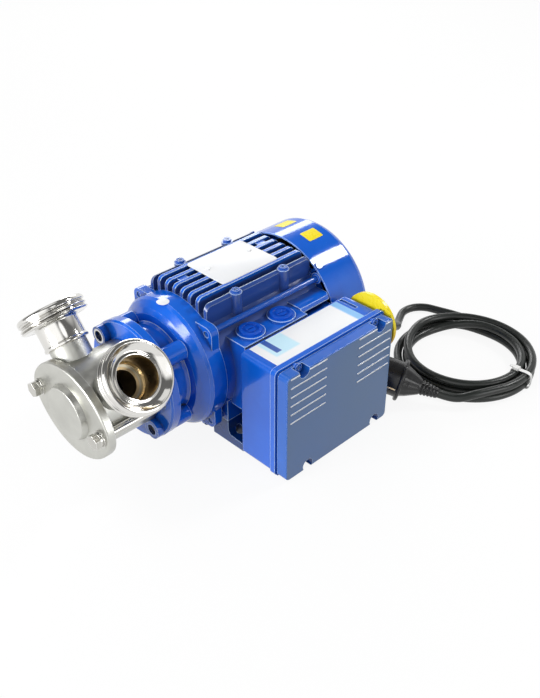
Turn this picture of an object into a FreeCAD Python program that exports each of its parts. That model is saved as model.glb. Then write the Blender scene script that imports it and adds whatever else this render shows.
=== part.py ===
# Flexible impeller pump with a single-phase motor, capacitor box, switch and mains cord.
# Millimetres. The origin is on the ground at the centre of the four foot holes,
# +X runs along the shaft from the pump to the fan, +Z is up, the capacitor box is at -Y.
import FreeCAD, Part
import math
import os

import Sketcher
from FreeCAD import Placement, Rotation, Vector

doc = FreeCAD.newDocument("ImpellerPump")
sheet = doc.addObject("Spreadsheet::Sheet", "Sizes")

ALONG_X = Rotation(Vector(0, 1, 0), 90)
ALONG_Y = Rotation(Vector(1, 0, 0), -90)
ALONG_Z = Rotation()
TOWARDS_LID = Rotation(Vector(1, 0, 0), 90)


# Sizes: each driving dimension stands once in the sheet

class Size:
    """A value together with the sheet expression that gives it."""

    def __init__(self, text, value):
        self.text = text
        self.value = value

    def __add__(self, other):
        return joined(self, "+", other, lambda a, b: a + b)

    def __radd__(self, other):
        return joined(other, "+", self, lambda a, b: a + b)

    def __sub__(self, other):
        return joined(self, "-", other, lambda a, b: a - b)

    def __rsub__(self, other):
        return joined(other, "-", self, lambda a, b: a - b)

    def __mul__(self, other):
        return joined(self, "*", other, lambda a, b: a * b)

    def __rmul__(self, other):
        return joined(other, "*", self, lambda a, b: a * b)

    def __truediv__(self, other):
        return joined(self, "/", other, lambda a, b: a / b)

    def __rtruediv__(self, other):
        return joined(other, "/", self, lambda a, b: a / b)

    def __neg__(self):
        return Size("(0 - %s)" % self.text, -self.value)


def text_of(item):
    return item.text if isinstance(item, Size) else "%.6g" % item


def value_of(item):
    return item.value if isinstance(item, Size) else float(item)


def joined(left, sign, right, work):
    text = "(%s %s %s)" % (text_of(left), sign, text_of(right))
    return Size(text, work(value_of(left), value_of(right)))


def cosine(angle):
    return Size("cos(%s)" % text_of(angle), math.cos(math.radians(value_of(angle))))


def sine(angle):
    return Size("sin(%s)" % text_of(angle), math.sin(math.radians(value_of(angle))))


next_row = [1]


def size(name, value, note):
    """Write one driving dimension into the sheet and return it."""
    row = next_row[0]
    next_row[0] += 1
    sheet.set("A%d" % row, name)
    sheet.set("B%d" % row, "%g" % value)
    sheet.set("C%d" % row, note)
    sheet.setAlias("B%d" % row, name)
    return Size("Sizes." + name, float(value))


# Driving dimensions: the unit as a whole
shaft_height = size("shaft_height", 80, "shaft axis above the ground")
head_turn = size("head_turn", 4.5, "degrees that the pump head leans towards the box")
mate_gap = size("mate_gap", 0.03, "radial gap of seated round pieces")
run_gap = size("run_gap", 0.35, "gap between turning and standing pieces")

# Driving dimensions: motor frame and end shields
frame_ahead = size("frame_ahead", 69, "frame front end ahead of the foot centre")
frame_length = size("frame_length", 136, "finned frame along the shaft")
frame_bore = size("frame_bore", 60, "radius of the stator seat")
barrel_wall = size("barrel_wall", 5, "barrel wall under the fins")
fin_reach = size("fin_reach", 74.5, "fin tips above and beside the shaft")
corner_reach = size("corner_reach", 80, "largest radius of the fins")
fin_pitch = size("fin_pitch", 11, "fin spacing")
fin_gap = size("fin_gap", 7, "open width between two fins")
fin_slots = size("fin_slots", 9, "slots on each side of the frame")
fin_end_round = size("fin_end_round", 6, "rounding of the fin ends")
corner_clear = size("corner_clear", 6, "open corner inside the tie bolt axis")
frame_screw_front = size("frame_screw_front", -32, "front top screws along the shaft")
frame_screw_back = size("frame_screw_back", 30, "rear top screws along the shaft")
frame_screw_y = size("frame_screw_y", 40, "top screws beside the shaft")
shield_plate = size("shield_plate", 9, "thickness of the shields' square plates")
shield_half = size("shield_half", 56.7, "half width of the square plate")
lug_round = size("lug_round", 8, "corner radius of the square plate")
tie_offset = size("tie_offset", 49.5, "tie bolt from the shaft, sideways and up")
tie_radius = size("tie_radius", 3, "tie bolt radius")
drum_radius = size("drum_radius", 66.5, "round front of the front shield")
drum_length = size("drum_length", 18.4, "round front ahead of the square plate")
shield_wall = size("shield_wall", 6, "shield wall")
spigot_length = size("spigot_length", 4, "shield spigot in the frame")
pilot_radius = size("pilot_radius", 40, "motor face pilot")
pilot_length = size("pilot_length", 3, "motor face pilot height")
bearing_outer = size("bearing_outer", 23.5, "bearing outside radius")
bearing_bore = size("bearing_bore", 10, "bearing bore radius")
bearing_width = size("bearing_width", 14, "bearing width")

# Driving dimensions: pump head
body_radius = size("body_radius", 41.5, "pump body outside")
body_length = size("body_length", 60, "pump body, cover seat to adapter seat")
port_setback = size("port_setback", 20, "port axis behind the cover seat")
chamber_radius = size("chamber_radius", 32.5, "impeller chamber")
chamber_depth = size("chamber_depth", 40.5, "impeller chamber depth")
cam_radius = size("cam_radius", 28, "cam face from the shaft axis")
cam_half_angle = size("cam_half_angle", 13, "half angle of the cam face")
ramp_half_angle = size("ramp_half_angle", 27, "half angle to the foot of the cam ramps")
seal_radius = size("seal_radius", 15, "seal cavity radius")
seal_depth = size("seal_depth", 13.5, "seal cavity behind the chamber")
body_spigot = size("body_spigot", 35, "body spigot radius in the adapter")
port_angle = size("port_angle", 45, "each port from the head's upright")
stub_radius = size("stub_radius", 18, "port stub on the body")
stub_bore = size("stub_bore", 13, "bore of the stub into the chamber")
inlet_reach = size("inlet_reach", 97.5, "inlet face from the shaft axis")
outlet_reach = size("outlet_reach", 91.5, "outlet face from the shaft axis")
coupling_length = size("coupling_length", 36.5, "coupling end from its weld to its face")
tube_radius = size("tube_radius", 20.5, "coupling tube outside")
port_bore = size("port_bore", 19, "coupling bore, nominal 38")
thread_radius = size("thread_radius", 32.5, "round thread major radius, Rd 65")
thread_length = size("thread_length", 14, "threaded rim")
seat_lip = size("seat_lip", 21.6, "outer radius of the inner lip")
seat_rim = size("seat_rim", 28, "gasket seat at the face")
seat_depth = size("seat_depth", 5.5, "gasket seat depth")
cover_half_width = size("cover_half_width", 57.5, "oval cover half width")
cover_half_height = size("cover_half_height", 45, "oval cover half height")
cover_end_radius = size("cover_end_radius", 27.6, "radius of the oval's ends")
cover_thickness = size("cover_thickness", 8, "oval cover thickness")
cover_edge = size("cover_edge", 2, "rounded front edge of the cover")
boss_radius = size("boss_radius", 25.5, "raised disc at its face")
boss_base = size("boss_base", 27.5, "raised disc at its foot")
boss_height = size("boss_height", 5.6, "raised disc height")
cover_bolt_offset = size("cover_bolt_offset", 46.3, "cover bolt from the shaft axis")
cover_bolt_radius = size("cover_bolt_radius", 4, "cover bolt thread radius")
hex_flat = size("hex_flat", 13, "cover bolt head across flats")
hex_height = size("hex_height", 5.3, "cover bolt head height")
washer_radius = size("washer_radius", 8, "flat washer outside radius")
washer_height = size("washer_height", 1.6, "flat washer")
spring_washer = size("spring_washer", 2.2, "spring washer height")
oring_radius = size("oring_radius", 37.3, "cover O-ring, mean radius")
oring_section = size("oring_section", 1.15, "cover O-ring section radius")

# Driving dimensions: adapter between pump and motor
adapter_length = size("adapter_length", 33.6, "flange front to motor face")
flange_radius = size("flange_radius", 60, "adapter front flange")
flange_thickness = size("flange_thickness", 11, "adapter front flange")
leg_circle = size("leg_circle", 50, "adapter legs from the shaft axis")
leg_radius = size("leg_radius", 9.5, "adapter leg radius")
leg_ahead = size("leg_ahead", 7, "legs ahead of the flange front")
neck_radius = size("neck_radius", 44, "adapter neck outside")
neck_bore = size("neck_bore", 36, "adapter neck inside")
throat_bore = size("throat_bore", 24, "bore of the adapter flange")

# Driving dimensions: shaft line
pump_shaft = size("pump_shaft", 8, "shaft radius at the impeller")
drive_shaft = size("drive_shaft", 9.5, "shaft radius in the adapter")
core_shaft = size("core_shaft", 12.5, "shaft radius in the rotor core")
fan_shaft = size("fan_shaft", 8, "shaft radius at the fan")
hub_radius = size("hub_radius", 12, "brass hub of the impeller")
rubber_root = size("rubber_root", 16, "rubber round the hub")
vane_thickness = size("vane_thickness", 4.5, "impeller vane")
vane_count = size("vane_count", 6, "impeller vanes")
tip_radius = size("tip_radius", 3.4, "bead at the vane tip")
key_width = size("key_width", 5, "impeller key")
core_radius = size("core_radius", 34.9, "rotor core radius")
core_length = size("core_length", 80, "rotor and stator stack length")
air_gap = size("air_gap", 0.35, "gap from rotor to stator")
winding_reach = size("winding_reach", 16, "end windings beyond the stack")

# Driving dimensions: fan end
cowl_radius = size("cowl_radius", 78, "fan cowl outside")
cowl_length = size("cowl_length", 53, "fan cowl along the shaft")
cowl_wall = size("cowl_wall", 1.5, "fan cowl sheet")
cowl_round = size("cowl_round", 6, "rounded rear edge of the cowl")
cowl_slots = size("cowl_slots", 20, "air slots of the grille")
slot_width = size("slot_width", 6, "air slot width")
slot_inner = size("slot_inner", 20, "air slots start")
slot_outer = size("slot_outer", 62, "air slots end")
fan_radius = size("fan_radius", 64, "fan outside")
fan_blades = size("fan_blades", 8, "fan blades")
blade_width = size("blade_width", 20, "fan blade along the shaft")
fan_hub = size("fan_hub", 14, "fan hub radius")

# Driving dimensions: feet
foot_spacing = size("foot_spacing", 100, "foot holes along the shaft")
foot_span = size("foot_span", 125, "foot holes across")
foot_hole = size("foot_hole", 5, "foot hole radius")
foot_outer = size("foot_outer", 79, "outer edge of a foot from the shaft")
foot_inner = size("foot_inner", 36, "inner face of a foot from the shaft")
foot_sole = size("foot_sole", 9, "sole thickness")
foot_web = size("foot_web", 22, "upright of a foot")
foot_top = size("foot_top", 26, "foot seat on the frame above the ground")
foot_screw_y = size("foot_screw_y", 41.5, "foot screws beside the shaft, clear of the tie bolts")
foot_screw_depth = size("foot_screw_depth", 6.5, "foot screws' reach into the frame")
foot_screw_inset = size("foot_screw_inset", 14, "foot screws inside the foot holes, along the shaft")
pad_inset = size("pad_inset", 6.5, "foot pads of the frame inside its ends")
foot_rear_inset = size("foot_rear_inset", 4.5, "rear end of the feet inside the frame's end")

# Driving dimensions: capacitor box on the side
throat_front = size("throat_front", 57, "cast throat front end ahead of the foot centre")
throat_length = size("throat_length", 82, "cast throat along the shaft")
throat_top = size("throat_top", 39, "throat top above the shaft axis")
throat_height = size("throat_height", 74, "throat height")
throat_face = size("throat_face", 78, "throat face from the shaft")
throat_wall = size("throat_wall", 4, "throat wall")
plug_front = size("plug_front", -36, "front blanking plug along the shaft")
plug_rear = size("plug_rear", 4, "rear blanking plug along the shaft")
plug_outward = size("plug_outward", 8, "blanking plugs nearer the shaft than the throat's middle")
gasket = size("gasket", 1.5, "rubber gaskets")
box_front = size("box_front", 65, "box front end ahead of the foot centre")
box_length = size("box_length", 144, "box along the shaft")
box_height = size("box_height", 118, "box height")
box_top = size("box_top", 119, "box top above the ground")
box_depth = size("box_depth", 47, "box housing from throat to lid seat")
box_wall = size("box_wall", 3, "box wall")
box_round = size("box_round", 5, "box corner radius")
rim_lip = size("rim_lip", 2, "box rim proud of its walls")
rim_width = size("rim_width", 6, "box rim")
lid_thickness = size("lid_thickness", 12, "lid height")
lid_inset = size("lid_inset", 2, "lid edge inside the rim")
notch_radius = size("notch_radius", 6.5, "lid notches at the screws")
notch_top_front = size("notch_top_front", -43.5, "upper front lid screw along the shaft")
notch_low_front = size("notch_low_front", -36, "lower front lid screw along the shaft")
notch_back = size("notch_back", 61, "rear lid screws along the shaft")
notch_low_inset = size("notch_low_inset", 4.2, "lower lid screws inside the box's lower edge")
notch_top_inset = size("notch_top_inset", 1.6, "upper lid screws inside the box's upper edge")
notch_floor = size("notch_floor", 2, "lid left under its screw heads")
post_radius = size("post_radius", 2.8, "screw posts of the lid")
louvre_pitch = size("louvre_pitch", 9.7, "louvre spacing")
louvre_count = size("louvre_count", 6, "louvre lines on each side")
louvre_length = size("louvre_length", 46, "louvre line")
slot_front = size("slot_front", 24, "front slot on the box top behind the box end")
slot_rear = size("slot_rear", 14, "rear slot on the box top ahead of the box end")
slot_length = size("slot_length", 21, "slots on the box top")
plug_circle = size("plug_circle", 11, "blanking plug radius")
collar_circle = size("collar_circle", 15, "plug collar radius")
switch_radius = size("switch_radius", 30, "switch plate radius")
switch_depth = size("switch_depth", 5, "switch plate thickness")
switch_step = size("switch_step", 2.3, "switch plate clear of the box wall")
switch_y = size("switch_y", 110, "switch axis from the shaft, towards the lid")
switch_z = size("switch_z", 100, "switch axis above the ground")
knob_radius = size("knob_radius", 13, "switch knob radius")
knob_depth = size("knob_depth", 12, "switch knob")
switch_neck = size("switch_neck", 9, "switch neck through the box wall")
pivot_bore = size("pivot_bore", 5, "bore that the switch stem turns in")
pivot_gap = size("pivot_gap", 0.07, "running gap of the switch stem")
gland_y = size("gland_y", 92, "cable gland from the shaft, towards the lid")
gland_z = size("gland_z", 58, "cable gland above the ground")
gland_thread = size("gland_thread", 8, "gland thread radius")
gland_hex = size("gland_hex", 11, "gland nut corner radius")
capacitor_radius = size("capacitor_radius", 19, "capacitor can radius")
capacitor_length = size("capacitor_length", 92, "capacitor can length")
block_start = size("block_start", -30, "terminal block along the shaft")
block_length = size("block_length", 66, "terminal block length")
block_depth = size("block_depth", 14, "terminal block from the box back")
block_height = size("block_height", 20, "terminal block height")
block_gap = size("block_gap", 2.3, "terminal block above the capacitor")
stud_pitch = size("stud_pitch", 11, "terminal spacing")

# Driving dimensions: mains cord and plug
cord_radius = size("cord_radius", 4.6, "cord radius")
boot_length = size("boot_length", 26, "tapered boot where the cord leaves")
coil_x = size("coil_x", 215, "coil centre behind the foot centre")
coil_y = size("coil_y", -140, "coil centre beside the shaft")
coil_inner = size("coil_inner", 57, "coil inside radius")
coil_outer = size("coil_outer", 79, "coil outside radius")
coil_height = size("coil_height", 18, "coil height")
tie_band = size("tie_band", 0.8, "cable tie thickness")
plug_x = size("plug_x", 114, "plug collar behind the foot centre")
plug_y = size("plug_y", -131, "plug collar beside the shaft")
plug_angle = size("plug_angle", -61, "degrees from +X to the plug's cord end")
plug_tilt = size("plug_tilt", 13, "degrees that the plug dips towards its cord")
plug_radius = size("plug_radius", 19, "plug body radius")
plug_collar = size("plug_collar", 22.5, "plug collar radius")
plug_body = size("plug_body", 30, "plug face to collar")
plug_neck = size("plug_neck", 40, "collar to the end of the plug's neck")
plate_length = size("plate_length", 72, "name plate along the shaft")
plate_width = size("plate_width", 54, "name plate across")
plate_middle = size("plate_middle", 0.5, "name plate centre behind the foot centre")
sheet_metal = size("sheet_metal", 0.8, "plates and labels")

# Stations along the shaft, worked out from the chain of lengths
frame_front = -frame_ahead
frame_back = frame_front + frame_length
plate_front = frame_front - shield_plate
foot_start = frame_front + pad_inset
foot_end = frame_back - foot_rear_inset
foot_middle = (foot_start + foot_end) / 2
motor_face = plate_front - drum_length
flange_front = motor_face - adapter_length
flange_back = flange_front + flange_thickness
leg_front = flange_front - leg_ahead
body_front = flange_front - body_length
port_x = body_front + port_setback
cover_front = body_front - cover_thickness
chamber_back = body_front + chamber_depth
seal_back = chamber_back + seal_depth
shield_back = frame_back + shield_plate
core_middle = (frame_front + frame_back) / 2 - 4
core_front = core_middle - core_length / 2
core_back = core_middle + core_length / 2
front_bearing_x = motor_face + shield_wall - 1
rear_bearing_x = shield_back - 2 - bearing_width
cowl_back = frame_back + cowl_length
barrel_radius = frame_bore + barrel_wall
cowl_screw_start = drum_radius - 9
cowl_screw_turn = 52
doc.recompute()


# Tools: binding, sketches, features and primitives

def bind(item, prop, amount):
    """Give a property its value and, where the value comes from the sheet, its expression."""
    if isinstance(amount, Size):
        item.setExpression(prop, amount.text)
    else:
        setattr(item, prop, amount)


def place(item, x=0, y=0, z=0, axis=None, angle=0, lay=None):
    """Place an object; lay is a fixed rotation, axis and angle a driven one."""
    turn = Rotation(axis, value_of(angle)) if axis else (lay or Rotation())
    item.Placement = Placement(Vector(value_of(x), value_of(y), value_of(z)), turn)
    for name, amount in (("x", x), ("y", y), ("z", z)):
        if isinstance(amount, Size):
            item.setExpression(".Placement.Base." + name, amount.text)
    if axis and isinstance(angle, Size):
        item.setExpression(".Placement.Rotation.Angle", angle.text)


def new_body(name):
    return doc.addObject("PartDesign::Body", name)


def plane_of(body, role):
    for plane in body.Origin.OriginFeatures:
        if plane.Role == role:
            return plane
    raise ValueError("no plane " + role)


def new_sketch(body, name, role, offset=0, tilt=0):
    """Sketch on an origin plane, moved along its normal, or tilted about its own X axis."""
    sketch = body.newObject("Sketcher::SketchObject", name)
    sketch.AttachmentSupport = [(plane_of(body, role), "")]
    sketch.MapMode = "FlatFace"
    turn = Rotation(Vector(1, 0, 0), value_of(tilt))
    sketch.AttachmentOffset = Placement(Vector(0, 0, value_of(offset)), turn)
    if isinstance(offset, Size):
        sketch.setExpression(".AttachmentOffset.Base.z", offset.text)
    if isinstance(tilt, Size):
        sketch.setExpression(".AttachmentOffset.Rotation.Angle", tilt.text)
    return sketch


def measure(sketch, kind, geometry, point, amount):
    """Hold a point at a signed distance from the sketch origin, or a radius."""
    if kind == "Radius":
        index = sketch.addConstraint(Sketcher.Constraint("Radius", geometry, value_of(amount)))
    elif not isinstance(amount, Size) and amount == 0:
        axis = -2 if kind == "DistanceX" else -1
        sketch.addConstraint(Sketcher.Constraint("PointOnObject", geometry, point, axis))
        return
    else:
        made = Sketcher.Constraint(kind, -1, 1, geometry, point, value_of(amount))
        index = sketch.addConstraint(made)
    if isinstance(amount, Size):
        sketch.setExpression("Constraints[%d]" % index, amount.text)


def polygon(sketch, points):
    """Closed outline through points, each held by its two distances."""
    first = sketch.GeometryCount
    count = len(points)
    for index in range(count):
        start = points[index]
        end = points[(index + 1) % count]
        a = Vector(value_of(start[0]), value_of(start[1]), 0)
        b = Vector(value_of(end[0]), value_of(end[1]), 0)
        sketch.addGeometry(Part.LineSegment(a, b), False)
    for index in range(count):
        here = first + index
        after = first + (index + 1) % count
        sketch.addConstraint(Sketcher.Constraint("Coincident", here, 2, after, 1))
    for index in range(count):
        measure(sketch, "DistanceX", first + index, 1, points[index][0])
        measure(sketch, "DistanceY", first + index, 1, points[index][1])


def circle(sketch, x, y, radius):
    middle = Vector(value_of(x), value_of(y), 0)
    made = Part.Circle(middle, Vector(0, 0, 1), value_of(radius))
    index = sketch.addGeometry(made, False)
    measure(sketch, "DistanceX", index, 3, x)
    measure(sketch, "DistanceY", index, 3, y)
    measure(sketch, "Radius", index, 3, radius)


def rectangle(sketch, left, low, right, high):
    polygon(sketch, [(left, low), (right, low), (right, high), (left, high)])


def refresh(*items):
    """Work out only the named objects, which is much faster than the whole document."""
    for item in items:
        item.recompute()
        item.purgeTouched()


def volume_of(body):
    return body.Tip.Shape.Volume if body.Tip else 0.0


def feature(body, kind, name, sketch, **values):
    """Add a sketch feature and check that it changed the volume."""
    before = volume_of(body)
    made = body.newObject("PartDesign::" + kind, name)
    made.Profile = sketch
    for prop, amount in values.items():
        bind(made, prop, amount)
    if kind in ("Revolution", "Groove"):
        made.ReferenceAxis = (sketch, ["H_Axis"])
        made.Angle = 360
    refresh(sketch, made)
    sketch.Visibility = False
    if abs(made.Shape.Volume - before) < 1e-6:
        raise ValueError(body.Name + "." + name + " changed nothing")
    return made


def turned(body, name, outline, cut=False):
    """Turn an outline of (x, radius) points about the body's X axis."""
    sketch = new_sketch(body, name + "_outline", "XY_Plane")
    polygon(sketch, outline)
    return feature(body, "Groove" if cut else "Revolution", name, sketch)


def edges_of(made, test):
    """Names of a feature's edges that pass a test."""
    names = []
    for number, edge in enumerate(made.Shape.Edges, start=1):
        if test(edge):
            names.append("Edge%d" % number)
    return names


def fillet(body, name, made, test, radius):
    names = edges_of(made, test)
    if not names:
        raise ValueError(name + " found no edges")
    rounded = body.newObject("PartDesign::Fillet", name)
    rounded.Base = (made, names)
    bind(rounded, "Radius", radius)
    refresh(rounded)
    return rounded


def polar(body, name, made, role, count):
    """Repeat a feature round one of the body's origin axes."""
    pattern = body.newObject("PartDesign::PolarPattern", name)
    pattern.Originals = [made]
    pattern.Axis = (plane_of(body, role), [""])
    pattern.Angle = 360
    bind(pattern, "Occurrences", count)
    body.Tip = pattern
    refresh(pattern)
    return pattern


def linear(body, name, made, sketch, axis, length, count, back=False):
    """Repeat a feature along one of its sketch's axes, or backwards along it."""
    pattern = body.newObject("PartDesign::LinearPattern", name)
    pattern.Originals = [made]
    pattern.Direction = (sketch, [axis])
    pattern.Reversed = back
    bind(pattern, "Length", length)
    bind(pattern, "Occurrences", count)
    body.Tip = pattern
    refresh(pattern)
    return pattern


def primitive(kind, name, where=(0, 0, 0), lay=ALONG_Z, **values):
    made = doc.addObject("Part::" + kind, name)
    for prop, amount in values.items():
        bind(made, prop, amount)
    place(made, *where, lay=lay)
    return made


def box(name, low, extent):
    return primitive("Box", name, low, Length=extent[0], Width=extent[1], Height=extent[2])


def rod(name, start, radius, length, lay=ALONG_X):
    return primitive("Cylinder", name, start, lay, Radius=radius, Height=length)


def fused(name, *pieces):
    made = doc.addObject("Part::MultiFuse", name)
    made.Shapes = list(pieces)
    return made


def cut(name, base, *tools):
    made = doc.addObject("Part::Cut", name)
    made.Base = base
    made.Tool = tools[0] if len(tools) == 1 else fused(name + "_tools", *tools)
    return made


def group(name, *pieces):
    """Several separate solids of one kind under one name."""
    made = doc.addObject("Part::Compound", name)
    made.Links = list(pieces)
    return made


kept = []


def keep(item, label):
    """Register a finished sub-part under the name of its file."""
    item.Label = label
    kept.append(item)


def seat(item, turn=0):
    """Put a body that is drawn about the shaft onto the shaft axis."""
    place(item, 0, 0, shaft_height, Vector(1, 0, 0), turn)


def ring(label, front, back, inner, outer):
    """Plain ring on the shaft axis."""
    body = new_body(label)
    turned(body, "ring", [(front, inner), (front, outer), (back, outer), (back, inner)])
    seat(body)
    keep(body, label)
    return body


# Pump head

def oval(sketch, half_width, half_height, end_radius):
    """Oval of four tangent arcs, as wide and high as given."""
    width = value_of(half_width)
    height = value_of(half_height)
    small = value_of(end_radius)
    end_middle = width - small
    # The flat arcs' radius follows from tangency with the end arcs.
    drop = (end_middle ** 2 - (height - small) ** 2) / (2 * (height - small))
    large = height + drop
    lean = math.atan2(drop, end_middle)
    up = Vector(0, 0, 1)
    middles = [(end_middle, 0), (0, -drop), (-end_middle, 0), (0, drop)]
    radii = [small, large, small, large]
    starts = [-lean, lean, math.pi - lean, math.pi + lean]
    ends = [lean, math.pi - lean, math.pi + lean, 2 * math.pi - lean]
    for (x, y), radius, start, end in zip(middles, radii, starts, ends):
        arc = Part.ArcOfCircle(Part.Circle(Vector(x, y, 0), up, radius), start, end)
        sketch.addGeometry(arc, False)
    for index in range(4):
        sketch.addConstraint(Sketcher.Constraint("Tangent", index, 2, (index + 1) % 4, 1))
    measure(sketch, "DistanceX", 0, 3, half_width - end_radius)
    measure(sketch, "DistanceX", 2, 3, end_radius - half_width)
    for index in (0, 2):
        measure(sketch, "DistanceY", index, 3, 0)
        measure(sketch, "Radius", index, 3, end_radius)
    for arc, side in ((1, half_height), (3, -half_height)):
        top = sketch.addGeometry(Part.Point(Vector(0, value_of(side), 0)), True)
        measure(sketch, "DistanceX", top, 1, 0)
        measure(sketch, "DistanceY", top, 1, side)
        sketch.addConstraint(Sketcher.Constraint("PointOnObject", top, 1, arc))


def make_front_cover():
    body = new_body("front_cover")
    outline = new_sketch(body, "oval", "YZ_Plane", cover_front)
    oval(outline, cover_half_width, cover_half_height, cover_end_radius)
    plate = feature(body, "Pad", "plate", outline, Length=cover_thickness)
    front = value_of(cover_front)
    fillet(body, "front_edge", plate,
           lambda edge: abs(edge.CenterOfMass.x - front) < 0.01, cover_edge)
    face = cover_front - boss_height
    turned(body, "disc", [(face, 0), (face, boss_radius), (cover_front, boss_base),
                          (cover_front + 1, boss_base), (cover_front + 1, 0)])
    top = value_of(face)
    fillet(body, "disc_edge", body.Tip,
           lambda edge: abs(edge.BoundBox.XMax - top) < 0.01, 1.0)
    holes = new_sketch(body, "bolt_holes", "YZ_Plane", cover_front)
    for side in (-1, 1):
        circle(holes, side * cover_bolt_offset, 0, cover_bolt_radius + 0.5)
    feature(body, "Pocket", "bolt_clearance", holes, Length=cover_thickness + 1, Reversed=True)
    seat(body, head_turn)
    keep(body, "front_cover")


def cam_outline(sketch):
    """Chamber section: a circle whose top is pushed in by the cam between the ports."""
    up = Vector(0, 0, 1)
    low = value_of(ramp_half_angle)
    high = value_of(cam_half_angle)
    wall = Part.Circle(Vector(0, 0, 0), up, value_of(chamber_radius))
    cam = Part.Circle(Vector(0, 0, 0), up, value_of(cam_radius))
    wall_arc = Part.ArcOfCircle(wall, math.radians(90 + low), math.radians(450 - low))
    cam_arc = Part.ArcOfCircle(cam, math.radians(90 - high), math.radians(90 + high))
    sketch.addGeometry([wall_arc, cam_arc], False)
    corners = [wall_arc.EndPoint, cam_arc.StartPoint, cam_arc.EndPoint, wall_arc.StartPoint]
    sketch.addGeometry(Part.LineSegment(corners[0], corners[1]), False)
    sketch.addGeometry(Part.LineSegment(corners[2], corners[3]), False)
    for first, second in (((0, 2), (2, 1)), ((2, 2), (1, 1)), ((1, 2), (3, 1)), ((3, 2), (0, 1))):
        sketch.addConstraint(Sketcher.Constraint("Coincident", *first, *second))
    for arc in (0, 1):
        sketch.addConstraint(Sketcher.Constraint("Coincident", arc, 3, -1, 1))
    measure(sketch, "Radius", 0, 3, chamber_radius)
    measure(sketch, "Radius", 1, 3, cam_radius)
    measure(sketch, "DistanceX", 0, 2, chamber_radius * sine(ramp_half_angle))
    measure(sketch, "DistanceX", 0, 1, -chamber_radius * sine(ramp_half_angle))
    measure(sketch, "DistanceX", 1, 1, cam_radius * sine(cam_half_angle))
    measure(sketch, "DistanceX", 1, 2, -cam_radius * sine(cam_half_angle))


PORTS = (("inlet", 1, inlet_reach), ("outlet", -1, outlet_reach))


def make_pump_body():
    body = new_body("pump_body")
    spigot_end = flange_front + 4
    bevel = 1.5
    turned(body, "casting", [(body_front, 0), (body_front, body_radius),
                             (flange_front - bevel, body_radius),
                             (flange_front, body_radius - bevel),
                             (flange_front, body_spigot), (spigot_end, body_spigot),
                             (spigot_end, 0)])
    for name, side, reach in PORTS:
        stub = new_sketch(body, name + "_stub", "XY_Plane", 0, side * port_angle)
        circle(stub, port_x, 0, stub_radius)
        feature(body, "Pad", name + "_spigot", stub, Length=reach - coupling_length)
    chamber = new_sketch(body, "chamber_section", "YZ_Plane", body_front)
    cam_outline(chamber)
    feature(body, "Pocket", "chamber", chamber, Length=chamber_depth, Reversed=True)
    turned(body, "seal_cavity", [(chamber_back - 1, 0), (chamber_back - 1, seal_radius),
                                 (seal_back, seal_radius), (seal_back, pump_shaft + 2),
                                 (spigot_end + 1, pump_shaft + 2), (spigot_end + 1, 0)], cut=True)
    for name, side, reach in PORTS:
        bore = new_sketch(body, name + "_bore_section", "XY_Plane", 0, side * port_angle)
        circle(bore, port_x, 0, stub_bore)
        feature(body, "Pocket", name + "_bore", bore, Length=reach, Reversed=True)
    groove_floor = body_front + 2 * oring_section
    inner = oring_radius - oring_section - 0.2
    outer = oring_radius + oring_section + 0.2
    turned(body, "ring_groove", [(body_front - 1, inner), (body_front - 1, outer),
                                 (groove_floor, outer), (groove_floor, inner)], cut=True)
    seat(body, head_turn)
    keep(body, "pump_body")


def make_coupling(name, side, reach):
    """Welded-on coupling end: tube, round-thread rim and gasket seat."""
    body = new_body(name + "_coupling")
    weld = reach - coupling_length
    rim_back = reach - thread_length
    lip_top = reach - seat_depth + 2
    floor = reach - seat_depth
    outline = [(weld, stub_bore + 2), (weld, tube_radius + 1), (weld + 2.5, tube_radius + 1),
               (weld + 3.5, tube_radius), (rim_back - 1.5, tube_radius),
               (rim_back, tube_radius + 2), (rim_back, thread_radius - 1.5),
               (rim_back + 1.5, thread_radius), (reach - 1.5, thread_radius),
               (reach, thread_radius - 1.5), (reach, seat_rim), (floor, seat_rim - 3),
               (floor, seat_lip + 0.8), (lip_top, seat_lip), (lip_top, port_bore),
               (weld + 6, port_bore), (weld + 4, stub_bore + 2)]
    turned(body, "turning", outline)
    # Drawn along X; one turn brings X upright, the second leans it to its port.
    upright = Rotation(Vector(0, 1, 0), -90)
    lean = value_of(head_turn + side * port_angle)
    turn = Rotation(Vector(1, 0, 0), lean).multiply(upright)
    place(body, port_x, 0, shaft_height, lay=turn)
    keep(body, name + "_coupling")


def make_oring():
    body = new_body("cover_oring")
    sketch = new_sketch(body, "section", "XY_Plane")
    circle(sketch, body_front + oring_section, oring_radius, oring_section)
    feature(body, "Revolution", "oring", sketch)
    seat(body, head_turn)
    keep(body, "cover_oring")


def head_point(offset):
    """Y and Z of a point beside the shaft in the leaning head."""
    return offset * cosine(head_turn), shaft_height + offset * sine(head_turn)


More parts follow.
